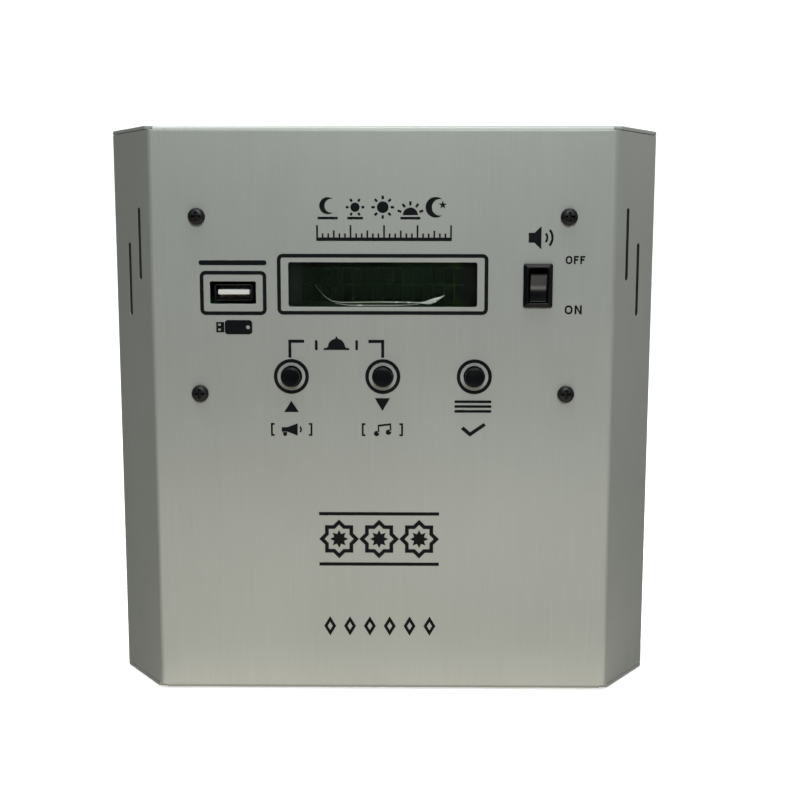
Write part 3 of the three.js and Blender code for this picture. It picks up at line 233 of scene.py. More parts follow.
def lathe(profile, sides=48, loop=False):
    """Turns (radius, depth) points about the depth axis."""
    rings = []
    for radius, depth in profile:
        if radius == 0:
            rings.append([(0, depth, 0)])
        else:
            rings.append([(x, depth, z) for x, z in disc(0, 0, radius, sides)])
    return skin(rings, loop=loop)


def rect_loft(steps, radius_steps=3):
    """Each step is (width, height, corner radius, depth)."""
    return [[(x, d, z) for x, z in rounded(0, 0, w, h, r, radius_steps)] for w, h, r, d in steps]


def carved(body, tool):
    for part in (body, tool):
        bmesh.ops.recalc_face_normals(part, faces=part.faces)
    body_data = as_mesh("body", body)
    tool_data = as_mesh("tool", tool)
    holder = in_scene("body", body_data)
    cutter = in_scene("tool", tool_data)
    step = holder.modifiers.new("cut", "BOOLEAN")
    step.operation = "DIFFERENCE"
    step.solver = "EXACT"
    step.object = cutter
    found = evaluated(holder)
    bpy.data.objects.remove(cutter)
    bpy.data.meshes.remove(body_data)
    bpy.data.meshes.remove(tool_data)
    return found


def moved(part, x=0, depth=0, z=0, spin=0):
    matrix = Matrix.Translation((x, depth, z)) @ Matrix.Rotation(math.radians(spin), 4, "Z")
    bmesh.ops.transform(part, matrix=matrix, verts=part.verts)
    return part


def piece(name, part, material, stands_for=(), body="case", angle=35):
    """Puts a part in the scene, in metres, with its faces outwards and corners over the angle sharp."""
    bmesh.ops.recalc_face_normals(part, faces=part.faces)
    if part.calc_volume(signed=True) < 0:
        bmesh.ops.reverse_faces(part, faces=part.faces)
    part.transform(Matrix.Scale(MM, 4) @ Matrix.Translation((0, FACE_Y, 0)))
    data = as_mesh(name, part)
    data.materials.append(material)
    data.shade_smooth()
    data.set_sharp_from_angle(angle=math.radians(angle))
    made = in_scene(name, data)
    normals = made.modifiers.new("normals", "WEIGHTED_NORMAL")
    normals.keep_sharp = True
    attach(made, body)
    if stands_for:
        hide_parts(*stands_for)


# Materials
class Look:
    def __init__(self, name):
        self.material = bpy.data.materials.new(name)
        self.material.use_nodes = True
        self.tree = self.material.node_tree
        self.tree.nodes.clear()
        self.shader = self.add("ShaderNodeBsdfPrincipled")
        out = self.add("ShaderNodeOutputMaterial")
        self.tree.links.new(self.shader.outputs[0], out.inputs["Surface"])

    def add(self, kind, links=None, **values):
        node = self.tree.nodes.new(kind)
        for key, value in values.items():
            if hasattr(node, key):
                setattr(node, key, value)
            else:
                node.inputs[key.replace("_", " ")].default_value = value
        for key, socket in (links or {}).items():
            self.tree.links.new(socket, node.inputs[key])
        return node

    def set(self, **values):
        for key, value in values.items():
            self.shader.inputs[key.replace("_", " ")].default_value = value

    def feed(self, name, socket):
        self.tree.links.new(socket, self.shader.inputs[name])

    def place(self, scale, attribute=None):
        if attribute:
            source = self.add("ShaderNodeAttribute", attribute_name=attribute).outputs["Vector"]
        else:
            source = self.add("ShaderNodeTexCoord").outputs["Object"]
        return self.add("ShaderNodeMapping", {"Vector": source}, Scale=scale).outputs[0]

    def noise(self, scale, detail=3.0, attribute=None, rough=0.55):
        links = {"Vector": self.place(scale, attribute)}
        return self.add("ShaderNodeTexNoise", links, Scale=1.0, Detail=detail, Roughness=rough).outputs[0]

    def ramp(self, socket, stops):
        node = self.add("ShaderNodeValToRGB", {"Fac": socket})
        elements = node.color_ramp.elements
        while len(elements) < len(stops):
            elements.new(0.5)
        for element, (spot, color) in zip(elements, stops):
            element.position = spot
            element.color = (*color, 1)
        return node.outputs[0]

    def span(self, socket, low, high, start=0.3, end=0.7):
        """Goes from low to high while the socket goes from start to end."""
        limits = {"From_Min": start, "From_Max": end, "To_Min": low, "To_Max": high}
        return self.add("ShaderNodeMapRange", {"Value": socket}, **limits).outputs[0]

    def math(self, operation, *sockets):
        return self.add("ShaderNodeMath", dict(enumerate(sockets)), operation=operation).outputs[0]

    def blend(self, factor, a, b):
        """Colour a where the factor is 0, and b where it is 1."""
        node = self.add("ShaderNodeMix", data_type="RGBA")
        sources = {"Factor_Float": factor, "A_Color": a, "B_Color": b}
        for socket in node.inputs:
            if socket.identifier in sources:
                self.tree.links.new(sources[socket.identifier], socket)
        return next(socket for socket in node.outputs if socket.identifier == "Result_Color")

    def bump(self, socket, strength, distance):
        node = self.add("ShaderNodeBump", {"Height": socket}, Strength=strength, Distance=distance)
        self.feed("Normal", node.outputs[0])


GRAINS_PER_CLOUD = 22
WIRE_PITCH = 1.27 * MM
HALF_DISPLAY = 33 * MM
DOT = (0.6 * MM, 0.7 * MM)


def shade(color, factor):
    return tuple(min(c * factor, 1) for c in color)


def plain_look(name, color, rough, metal=0.0, grain=1600, tint=0.12, spread=0.08, bump=0.25,
               relief=0.00004, **more):
    """A finish with fine grain in its relief, and broader, fainter changes of colour and gloss."""
    look = Look(name)
    look.set(Metallic=metal, **more)
    fine = look.noise((grain,) * 3, 4.0)
    broad = look.noise((grain / GRAINS_PER_CLOUD,) * 3, 3.0)
    look.feed("Base Color", look.ramp(broad, [(0.3, shade(color, 1 - tint)), (0.7, shade(color, 1 + tint))]))
    look.feed("Roughness", look.span(broad, rough - spread, rough + spread))
    look.bump(fine, bump, relief)
    return look.material


def brushed_look(name, color, rough, metal):
    """Satin sheet, brushed along the height of its blank, so also round its bends.

    Cut edges get painted shade, dark as the shadow inside the slots and holes, apart from those of the
    flanges.
    """
    look = Look(name)
    look.set(Metallic=metal, Anisotropic=0.3)
    lines = look.noise((3.2, 0.045, 1.0), 5.0, "blank", 0.62)
    fine = look.noise((9.0, 0.16, 1.0), 3.0, "blank", 0.6)
    clouds = look.noise((0.02, 0.014, 1.0), 3.0, "blank", 0.5)
    tone = look.add("ShaderNodeMix", {"A": lines, "B": clouds}, data_type="FLOAT", Factor=0.45).outputs[0]
    face = look.ramp(tone, [(0.36, shade(color, 0.95)), (0.64, shade(color, 1.05))])
    # Painted shade: the cut edges are nearly black, standing in for the shadow in the slots and holes
    edge = look.ramp(fine, [(0.3, shade(color, 0.05)), (0.7, shade(color, 0.12))])
    spot = look.add("ShaderNodeSeparateXYZ", {"Vector": look.place((1, 1, 1), "blank")}).outputs
    corner = SHEET / 2 - EDGE
    flange_from = WALL_TOP - 0.6
    on_face = look.span(look.math("ABSOLUTE", spot["Z"]), 0, 1, corner - 0.02, corner + 0.05)
    on_flange = look.span(look.math("ABSOLUTE", spot["Y"]), 0, 1, flange_from, flange_from + 0.1)
    look.feed("Base Color", look.blend(look.math("MAXIMUM", on_face, on_flange), edge, face))
    look.feed("Roughness", look.span(lines, rough - 0.03, rough + 0.05))
    look.bump(fine, 0.10, 0.00002)
    return look.material


def board_look(name, color):
    """Solder resist over a net of tracks."""
    look = Look(name)
    links = {"Vector": look.place((420, 420, 420))}
    tracks = look.add(
        "ShaderNodeTexBrick", links, offset=0.37, Scale=1.0, Mortar_Size=0.05,
        Color1=(*shade(color, 0.85), 1), Color2=(*color, 1), Mortar=(*shade(color, 1.7), 1),
    )
    look.feed("Base Color", tracks.outputs["Color"])
    look.feed("Roughness", look.span(look.noise((900,) * 3), 0.32, 0.5))
    look.bump(tracks.outputs["Fac"], 0.3, 0.00003)
    return look.material


def ribbon_look(name, color):
    """Wires side by side, with painted shade darkening the grooves between them. A wave texture of scale 1
    repeats every pi / 10.
    """
    look = Look(name)
    look.set(Roughness=0.5)
    links = {"Vector": look.place((1, 1, 1))}
    scale = math.pi / 10 / WIRE_PITCH
    wires = look.add("ShaderNodeTexWave", links, bands_direction="X", Scale=scale).outputs["Fac"]
    # Painted shade: the valleys between the wires are darker
    look.feed("Base Color", look.ramp(wires, [(0.1, shade(color, 0.6)), (0.5, color)]))
    look.bump(wires, 0.5, 0.0002)
    return look.material


def display_tone_and_painted_leak(look):
    """Nearly black green, greyer at both ends, with a painted yellow streak of light leaking past the right
    end.
    """
    parts = look.add("ShaderNodeSeparateXYZ", {"Vector": look.place((1, 1, 1))})
    across = look.span(parts.outputs["X"], 0, 1, -HALF_DISPLAY, HALF_DISPLAY)
    # Painted light: the stop at 0.885 is a yellow glow of light leaking past the right end
    stops = [(0.03, (0.030, 0.038, 0.033)), (0.13, (0.016, 0.027, 0.016)), (0.5, (0.009, 0.028, 0.009)),
             (0.84, (0.012, 0.032, 0.009)), (0.885, (0.024, 0.050, 0.006)), (0.93, (0.018, 0.023, 0.017)),
             (0.99, (0.014, 0.015, 0.015))]
    return look.ramp(across, stops)


def display_look(name):
    look = Look(name)
    look.feed("Base Color", display_tone_and_painted_leak(look))
    cloud = look.noise((500,) * 3)
    look.feed("Roughness", look.span(cloud, 0.14, 0.22))
    look.bump(cloud, 0.05, 0.00002)
    return look.material


def cell_look(name):
    """Dots of a character cell, only a shade off their background."""
    look = Look(name)
    # The cells carry the same painted streak of leaking light
    tone = display_tone_and_painted_leak(look)
    links = {"Vector": look.place((1 / DOT[0], 1, 1 / DOT[1])), "Color1": tone, "Color2": tone}
    dots = look.add(
        "ShaderNodeTexBrick", links, offset=0.0, Scale=1.0, Brick_Width=1.0, Row_Height=1.0,
        Mortar_Size=0.07, Mortar=(0.008, 0.023, 0.008, 1),
    )
    look.feed("Base Color", dots.outputs["Color"])
    look.feed("Roughness", look.span(look.noise((300,) * 3), 0.16, 0.26))
    return look.material


def glass_look(name, color, rough, ior, weight):
    look = Look(name)
    look.set(Transmission_Weight=weight, IOR=ior)
    cloud = look.noise((260,) * 3)
    look.feed("Base Color", look.ramp(cloud, [(0.3, shade(color, 0.97)), (0.7, color)]))
    look.feed("Roughness", look.span(cloud, rough * 0.6, rough))
    look.bump(cloud, 0.05, 0.00002)
    return look.material


# Finishes named as the record's material slots
looks = {
    "case_sheet": brushed_look("case_sheet", (0.374, 0.393, 0.369), 0.45, 0.3),
    "black_screws": plain_look("black_screws", (0.012, 0.012, 0.013), 0.38, 0.5, 2400),
    "window_plastic": glass_look("window_plastic", (0.86, 0.9, 0.88), 0.04, 1.49, 1.0),
    "display_glass": display_look("display_glass"),
    "black_metal": plain_look("black_metal", (0.014, 0.015, 0.016), 0.4, 0.4, 2000),
    "white_plastic": plain_look("white_plastic", (0.78, 0.78, 0.76), 0.38, 0.0, 1500, 0.04),
    "board_blue": board_look("board_blue", (0.012, 0.045, 0.13)),
    "board_green": board_look("board_green", (0.012, 0.085, 0.035)),
    "black_plastic": plain_look("black_plastic", (0.010, 0.010, 0.011), 0.42, 0.0, 2600, 0.2),
    "key_plastic": plain_look("key_plastic", (0.002, 0.0028, 0.004), 0.3, 0.0, 2600, 0.2, 0.05, 0.15,
                              Specular_IOR_Level=0.14),
    "rocker_plastic": plain_look("rocker_plastic", (0.004, 0.0045, 0.0055), 0.2, 0.0, 3000, 0.2, 0.04, 0.12,
                                 Specular_IOR_Level=0.48),
    "nickel": plain_look("nickel", (0.62, 0.61, 0.58), 0.26, 1.0, 1200, 0.06, 0.07, 0.1),
    "core_steel": plain_look("core_steel", (0.22, 0.22, 0.23), 0.5, 0.7, 900, 0.2),
    "winding_tape": plain_look("winding_tape", (0.50, 0.29, 0.05), 0.4, 0.0, 500, 0.1),
    "cone_paper": plain_look("cone_paper", (0.030, 0.028, 0.026), 0.85, 0.0, 700, 0.3, 0.05, 0.6, 0.0001),
    "fuse_glass": glass_look("fuse_glass", (0.85, 0.9, 0.88), 0.05, 1.5, 0.9),
    "capacitor_sleeve": plain_look("capacitor_sleeve", (0.020, 0.030, 0.085), 0.3, 0.0, 800, 0.1),
    "ribbon_grey": ribbon_look("ribbon_grey", (0.33, 0.34, 0.36)),
    "wire_red": plain_look("wire_red", (0.42, 0.035, 0.025), 0.4, 0.0, 1200, 0.08),
    "wire_blue": plain_look("wire_blue", (0.04, 0.07, 0.30), 0.4, 0.0, 1200, 0.08),
}

# Finishes that only this scene has
ink = plain_look("print_ink", (0.003, 0.0035, 0.005), 0.55, 0.0, 1800, 0.25, Specular_IOR_Level=0.1)
gold = plain_look("gold_plate", (0.80, 0.55, 0.20), 0.28, 1.0, 1500, 0.06)
clear_film = glass_look("clear_film", (0.7, 0.76, 0.7), 0.3, 1.45, 0.6)
# Painted shade: nearly black steel for the USB shell, standing in for the shade round its tongue
painted_shade_steel = plain_look("painted_shade_steel", (0.075, 0.077, 0.08), 0.4, 0.9, 1200, 0.15)
bezel_black = plain_look("bezel_black", (0.002, 0.0023, 0.003), 0.34, 0.0, 3000, 0.2, 0.05, 0.15,
                         Specular_IOR_Level=0.22)
cells = cell_look("display_cells")
ring_red = plain_look("ring_red", (0.45, 0.02, 0.02), 0.4, 0.0, 1500, 0.06)
chip_black = plain_look("chip_black", (0.013, 0.013, 0.014), 0.55, 0.0, 1600, 0.2)
tin = plain_look("tin", (0.60, 0.60, 0.60), 0.34, 1.0, 1400, 0.08)


# Case: both covers are cut as flat blanks and folded, so their brush lines follow the bends
facet_angle = math.atan2(FACET_DEEP, FACET_ACROSS)
front_tangent = BEND * math.tan(facet_angle / 2)
side_tangent = BEND * math.tan((math.pi / 2 - facet_angle) / 2)
facet_flat = math.hypot(FACET_ACROSS, FACET_DEEP) - front_tangent - side_tangent
ACROSS_LEGS = [(HALF_FACE - front_tangent, facet_angle), (facet_flat, math.pi / 2 - facet_angle), (DEEP, 0)]
UP_LEGS = [(HALF_HIGH - BEND, math.pi / 2), (DEEP, 0)]
REAR_ACROSS = [(REAR_HALF_WIDE - BEND, math.pi / 2), (DEEP, 0)]
REAR_UP = [(REAR_HALF_HIGH - BEND, math.pi / 2), (DEEP, 0)]


def folded(along, into, legs):
    """Where a point of the blank goes: how far along its outer face, and how far into the sheet."""
    out = back = heading = 0.0
    for flat, angle in legs:
        step = min(along, flat)
        out += step * math.cos(heading)
        back += step * math.sin(heading)
        along -= step
        if along <= 0:
            break
        swept = min(along, angle * BEND)
        centre = (out - BEND * math.sin(heading), back + BEND * math.cos(heading))
        heading += swept / BEND
        out = centre[0] + BEND * math.sin(heading)
        back = centre[1] - BEND * math.cos(heading)
        along -= swept
        if along <= 0:
            break
    return out - into * math.sin(heading), back + into * math.cos(heading)


def fold_lines(legs, steps=6):
    """Where the blank is cut along its bends, so that they come out round."""
    lines = []
    start = 0
    for flat, angle in legs:
        start += flat
        if angle:
            count = max(3, round(steps * angle / (math.pi / 2)) + 1)
            lines += [start + angle * BEND * i / count for i in range(count + 1)]
            start += angle * BEND
    return lines


def fold_blank(blank, across_legs, up_legs, folds_up, place):
    """Cuts the blank along its bend lines, keeps its flat coordinates as an attribute, and folds it."""
    for legs, normal in ((across_legs, (1, 0, 0)), (up_legs, (0, 1, 0))):
        for line in fold_lines(legs):
            for side in (-1, 1):
                geometry = blank.verts[:] + blank.edges[:] + blank.faces[:]
                spot = [side * line * n for n in normal]
                bmesh.ops.bisect_plane(blank, geom=geometry, dist=MERGE, plane_co=spot, plane_no=normal)
    layer = blank.verts.layers.float_vector.new("blank")
    for v in blank.verts:
        across, up, lift = v.co
        v[layer] = (across, up, lift)
        into = SHEET / 2 - lift
        if folds_up(abs(across), abs(up)):
            out, back = folded(abs(up), into, up_legs)
            v.co = place(across, back, math.copysign(out, up))
        else:
            out, back = folded(abs(across), into, across_legs)
            v.co = place(math.copysign(out, across), back, up)
    return blank


def mirrored(points):
    """A right half outline, from low to high, with its left half added."""
    return points + [(-x, z) for x, z in reversed(points)]


def four(spread_x, low, high):
    return [(side * spread_x, z) for side in (-1, 1) for z in (low, high)]


# Where things are on the face: x from its middle, z from the middle of the case
BUTTONS = {"up": -32, "down": 0, "menu": 32}
BUTTON_Z = 14
BUTTON_HOLE = 3.75
DISPLAY_Z = 46
DISPLAY_HOLE = (65.4, 15.4, 0.8)
USB = (-51.95, 43.2)
USB_HOLE = (15.9, 7.76, 0.5)
ROCKER = (53.65, 45.8)
ROCKER_HOLE = (8.7, 13.23, 0.2)
PANEL_SCREWS = four(64, 8, 69.3)
SIDE_HOLE_Z = 62
SIDE_HOLE_DEEP = 54
SCREW_HOLE = 1.7

# Slots in the facets: how far across the facet, lower and upper end
VENTS = [(0.31, 47.3, 72.5), (0.6, 34.4, 60.4)]
VENT_WIDE = 2.2

bend_length = BEND * math.pi / 2
facet_start = ACROSS_LEGS[0][0] + facet_angle * BEND
side_bend_start = facet_start + facet_flat
wall_start = side_bend_start + (math.pi / 2 - facet_angle) * BEND
side_back = FACET_DEEP + side_tangent
side_edge = wall_start + DEEP - side_back
flange_start = HALF_HIGH - BEND + bend_length


def flange_side(steps=4):
    """The side of a flange as (x, depth) points: along the facet, round its bend, and straight back."""
    bend = [side_bend_start + (wall_start - side_bend_start) * i / steps for i in range(steps + 1)]
    start = (HALF_FACE + BEND * FACET_ACROSS / FACET_DEEP, BEND)
    return [start, *[folded(along, 0, ACROSS_LEGS) for along in bend], (HALF_FACE + FACET_ACROSS, DEEP)]


def front_outline():
    upper = [(side_edge, WALL_TOP), (CHANNEL_HALF, WALL_TOP), (CHANNEL_HALF, flange_start)]
    upper += [(x, flange_start + back - BEND) for x, back in flange_side()]
    return mirrored([(x, -z) for x, z in reversed(upper)] + upper)


def vents():
    for side in (-1, 1):
        for share, low, high in VENTS:
            across = facet_start + share * math.hypot(FACET_ACROSS, FACET_DEEP) - front_tangent
            middle = (low + high) / 2
            yield rounded(side * across, middle, VENT_WIDE, high - low, VENT_WIDE / 2 - 0.01, 8)


front_side_holes = four(wall_start + SIDE_HOLE_DEEP - side_back, -SIDE_HOLE_Z, SIDE_HOLE_Z)
front_holes = [
    rounded(0, DISPLAY_Z, *DISPLAY_HOLE),
    rounded(*USB, *USB_HOLE),
    rounded(*ROCKER, *ROCKER_HOLE, 2),
    *[disc(x, BUTTON_Z, BUTTON_HOLE, 64) for x in BUTTONS.values()],
    *[disc(x, z, SCREW_HOLE, 24) for x, z in PANEL_SCREWS],
    *vents(),
    *[disc(x, z, SCREW_HOLE, 24) for x, z in front_side_holes],
]
front = fold_blank(
    flat_plate([front_outline(), *front_holes], SHEET),
    ACROSS_LEGS,
    UP_LEGS,
    lambda x, z: z > WALL_TOP + EDGE or (x < CHANNEL_HALF + EDGE and z > HALF_HIGH - BEND),
    lambda x, back, z: (x, back, z + MID_Z),
)
piece("front_sheet", front, looks["case_sheet"], ["front_cover"], angle=38)

# Where things are on the rear cover
SPEAKER = (-45, 38)
SPEAKER_SCREWS = [(x, z) for x in (-66, -24) for z in (17, 59)]
GRILLE_RADIUS = 19.5
GRILLE_SLOTS = 7
GRILLE_SLOT_WIDE = 2.6
AUDIO_X = (62.12, 80.12)
AUDIO_Z = -34
AUDIO_HOLE = 3.3
INLET = (71.12, -70)
INLET_HOLE = (20.1, 12.3, 0.2)
MAIN_HOLES = [(x, z) for x in (-78.06, 41.94) for z in (-87, -17)]
STANDOFF_RADIUS = 3.0
STANDOFF_ROOM = 0.06


def rear_outline():
    flange_reach = bend_length - BEND + REAR_FLANGE - BEND
    side = REAR_HALF_WIDE + flange_reach
    end = REAR_HALF_HIGH + flange_reach
    upper = [(side, REAR_SIDE_HALF), (REAR_END_HALF, REAR_SIDE_HALF), (REAR_END_HALF, end)]
    return mirrored([(x, -z) for x, z in reversed(upper)] + upper)


def grille():
    for i in range(GRILLE_SLOTS):
        offset = (i - (GRILLE_SLOTS - 1) / 2) * 2 * GRILLE_RADIUS / GRILLE_SLOTS
        long = 2 * math.sqrt(GRILLE_RADIUS ** 2 - offset ** 2)
        radius = GRILLE_SLOT_WIDE / 2 - 0.01
        yield rounded(SPEAKER[0] + offset, SPEAKER[1], GRILLE_SLOT_WIDE, long, radius, 8)


rear_side_hole = REAR_HALF_WIDE - BEND + bend_length + DEEP - BEND - SIDE_HOLE_DEEP
rear_holes = [
    *grille(),
    *[disc(x, z, SCREW_HOLE, 24) for x, z in SPEAKER_SCREWS],
    *[disc(x, AUDIO_Z, AUDIO_HOLE, 40) for x in AUDIO_X],
    rounded(*INLET, *INLET_HOLE, 2),
    *[disc(x, z, STANDOFF_RADIUS + STANDOFF_ROOM, 6) for x, z in MAIN_HOLES],
    *[disc(x, z, SCREW_HOLE, 24) for x, z in four(rear_side_hole, -SIDE_HOLE_Z, SIDE_HOLE_Z)],
]
rear = fold_blank(
    flat_plate([rear_outline(), *rear_holes], SHEET),
    REAR_ACROSS,
    REAR_UP,
    lambda x, z: x < REAR_END_HALF + EDGE and z > REAR_HALF_HIGH - BEND,
    lambda x, back, z: (x, DEEP - back, z + MID_Z),
)
piece("rear_sheet", rear, looks["case_sheet"], ["rear_cover"], angle=38)


# Fasteners
THREAD = 1.45
THREAD_ROOT = 1.22
PITCH = 0.5
SCREW_LONG = 6
RECESS_LONG = 3.4
RECESS_WIDE = 0.8
NUT_DEEP = 55.35
STANDOFF_DEEP = 52.82
STANDOFF_LONG = 7.1
MAIN_BOARD_DEEP = 51.2


def pan_screw():
    head = [(0, -2.1), (1.2, -2.09), (1.9, -2.02), (2.35, -1.83), (2.68, -1.52), (2.88, -1.12), (2.95, -0.7)]
    head += [(2.95, -0.12), (2.87, 0), (THREAD, 0)]
    turns = round(SCREW_LONG / PITCH) - 1
    thread = [(THREAD if i % 2 else THREAD_ROOT, PITCH / 2 * (i + 1)) for i in range(turns * 2)]
    tip = [(1.1, SCREW_LONG - 0.1), (0.9, SCREW_LONG), (0, SCREW_LONG)]
    made = lathe(head + thread + tip, 40)
    for w, h in ((RECESS_LONG, RECESS_WIDE), (RECESS_WIDE, RECESS_LONG)):
        arm = rect_loft([(w, h, 0.2, -3), (w, h, 0.2, -1.9), (w * 0.8, h * 0.8, 0.16, -1.0)])
        made = carved(made, skin(arm))
    return made


screw_shape = pan_screw()


def screw(name, stands_for, x, depth, z, spin):
    part = moved(screw_shape.copy(), x, depth, z, spin)
    piece(name, part, looks["black_screws"], stands_for, angle=32)


for i, (x, z) in enumerate(PANEL_SCREWS):
    screw(f"panel_fastener_{i + 1}", [f"panel_screw_{i + 1}"], x, 0, z + MID_Z, 0)
for i, (x, z) in enumerate(four(HALF_FACE + FACET_ACROSS, -SIDE_HOLE_Z, SIDE_HOLE_Z)):
    spin = 90 if x > 0 else -90
    screw(f"side_fastener_{i + 1}", [f"rear_cover_screw_{i + 1}"], x, SIDE_HOLE_DEEP, z + MID_Z, spin)
for i, (x, z) in enumerate(SPEAKER_SCREWS):
    screw(f"speaker_fastener_{i + 1}", [], x, DEEP, z + MID_Z, 180)
    nut = lathe([(1.5, 0), (2.9, 0), (3.17, 0.3), (3.17, 2.1), (2.9, 2.4), (1.5, 2.4)], 6, loop=True)
    piece(f"speaker_nut_{i + 1}", moved(nut, x, NUT_DEEP, z + MID_Z), tin)
for i, (x, z) in enumerate(MAIN_HOLES):
    screw(f"board_fastener_{i + 1}", [], x, MAIN_BOARD_DEEP, z + MID_Z, 0)
    outside = [(STANDOFF_RADIUS - 0.25, 0), (STANDOFF_RADIUS, 0.25), (STANDOFF_RADIUS, STANDOFF_LONG)]
    post = lathe([(1.75, 0), *outside, (1.75, STANDOFF_LONG)], 6, loop=True)
    piece(f"board_standoff_{i + 1}", moved(post, x, STANDOFF_DEEP, z + MID_Z), tin)


# Push buttons
def button_cap():
    top = [(0, -3.82), (1.0, -3.84), (1.8, -3.90), (2.3, -3.97)]
    rim = [(radius, -depth) for depth, radius in arc(3.3, 2.65, 0.7, 0, 90, 6)]
    return lathe(top + rim + [(3.35, 3.95), (3.2, 4.1), (0, 4.1)], 64)


for name, x in BUTTONS.items():
    cap = moved(button_cap(), x, 0, BUTTON_Z + MID_Z)
    piece(f"{name}_cap", cap, looks["key_plastic"], [f"{name}_button"], f"{name}_key", 30)


# Rocker switch: each step of its bezel is (width, height, corner radius, depth)
ROCKER_TURN = math.radians(12)
ROCKER_AXIS_DEEP = 1.9
rocker_place = (ROCKER[0], 0, ROCKER[1] + MID_Z)
bezel = [
    (6.4, 11.94, 0.15, 8.0), (6.4, 11.94, 0.3, -1.7), (6.9, 12.44, 0.4, -1.95), (7.2, 12.7, 0.45, -2.0),
    (7.6, 12.6, 0.5, -2.0), (7.9, 12.8, 0.6, -1.95), (9.9, 14.95, 0.7, -0.9), (10.1, 15.13, 0.75, -0.75),
    (10.1, 15.13, 0.75, -0.1), (9.95, 14.98, 0.7, 0), (8.4, 12.93, 0.4, 0), (8.4, 12.93, 0.4, 11.3),
    (8.2, 12.73, 0.35, 11.5),
]
housing = moved(skin(rect_loft(bezel)), *rocker_place)
piece("rocker_bezel", housing, bezel_black, ["rocker_housing"], angle=28)


def rounded_path(corners, steps=5):
    """Closed path through (a, b, radius) corners, with a curve through each."""
    path = []
    for i, (a, b, radius) in enumerate(corners):
        here = Vector((a, b))
        back = (Vector(corners[i - 1][:2]) - here).normalized()
        ahead = (Vector(corners[(i + 1) % len(corners)][:2]) - here).normalized()
        reach = radius / math.tan(math.acos(back.dot(ahead)) / 2)
        start = here + back * reach
        end = here + ahead * reach
        for step in range(steps + 1):
            t = step / steps
            path.append(start * (1 - t) ** 2 + here * 2 * t * (1 - t) + end * t ** 2)
    return path


def drawn_in(path, inset):
    """The path moved inwards by a small inset."""
    found = []
    for i, here in enumerate(path):
        along = (path[(i + 1) % len(path)] - path[i - 1]).normalized()
        found.append(here + Vector((along.y, -along.x)) * inset)
    return found


def rocker_shape():
    """Its side view as (depth, height) corners, and its half width with how far its rim is rounded there."""
    end = 3.2 + 5 * math.tan(ROCKER_TURN)
    path = rounded_path([
        (-end, -4.97, 0.45), (0.5, -4.25, 0.2), (3, -1.6, 0.3), (3, 1.6, 0.3), (0.5, 4.25, 0.2),
        (-end, 4.97, 0.45), (-3.17, -1.4, 11.0),
    ])
    rims = [(2.9, 0.35), (2.82, 0.12), (2.65, 0)]
    rims += [(-half, inset) for half, inset in reversed(rims)]
    made = skin([[(half, p.x, p.y) for p in drawn_in(path, inset)] for half, inset in rims])
    bmesh.ops.transform(made, matrix=Matrix.Rotation(ROCKER_TURN, 4, "X"), verts=made.verts)
    return made


actuator = moved(rocker_shape(), rocker_place[0], ROCKER_AXIS_DEEP, rocker_place[2])
piece("rocker_key", actuator, looks["rocker_plastic"], ["rocker_actuator"],
      "monitor_rocker", 28)


# USB socket: each step is (width, height, corner radius, depth)
TONGUE_Z = 0.15
TONGUE_THICK = 1.84
usb_place = (USB[0], 0, USB[1] + MID_Z)
shell = skin(rect_loft([
    (12.44, 5.02, 0.5, 14.0), (12.44, 5.02, 0.5, 2.1), (12.7, 5.3, 0.6, 1.62), (12.95, 5.55, 0.65, 1.62),
    (13.14, 5.72, 0.7, 1.85), (13.14, 5.72, 0.7, 14.0),
], 4), loop=True)
# The shell is painted dark, for the shade round the tongue
piece("usb_can", moved(shell, *usb_place), painted_shade_steel, ["usb_shell"])
base = skin(rect_loft([(12.2, 4.8, 0.3, 11.1), (12.24, 4.82, 0.4, 11.3), (12.24, 4.82, 0.4, 14.0)]))
tongue = skin(rect_loft([
    (10.5, 1.3, 0.3, 2.2), (10.9, 1.66, 0.35, 2.3),
    (11.1, TONGUE_THICK, 0.4, 2.7), (11.1, TONGUE_THICK, 0.4, 11.2),
]))
moved(tongue, z=TONGUE_Z)
insulator = moved(joined([base, tongue]), *usb_place)
piece("usb_tongue", insulator, looks["white_plastic"], ["usb_insulator"])
contact_z = TONGUE_Z - TONGUE_THICK / 2 - 0.12
contacts = []
for i in range(4):
    strip = rounded((i - 1.5) * 2.5, contact_z, 1.0, 0.26, 0.08, 2)
    contacts.append(slab([strip], 3.2, 11.05, 0.05))
piece("usb_contacts", moved(joined(contacts), *usb_place), gold)


# Display: window, glass with its character cells, and the protective film that has come loose below
CELL = (2.95, 5.55)
CELL_PITCH = (3.55, 5.96)
COLUMNS = 16
pane = slab([rounded(0, DISPLAY_Z + MID_Z, 70, 20, 1.2)], 1.2, 2.7, 0.1)
piece("display_pane", pane, looks["window_plastic"], ["display_window"])
glass = slab([rounded(0, DISPLAY_Z + MID_Z, 69.6, 23, 0.3, 2)], 3.6, 5.8, 0.15)
piece("display_panel", glass, looks["display_glass"], ["lcd_glass"])
grid = []
for row in (-0.5, 0.5):
    z = DISPLAY_Z + MID_Z + row * CELL_PITCH[1]
    for i in range(COLUMNS):
        x = (i - (COLUMNS - 1) / 2) * CELL_PITCH[0]
        grid.append(slab([rounded(x, z, *CELL, 0.1, 1)], 3.575, 3.61, 0.008))
piece("display_cell_grid", joined(grid), cells)

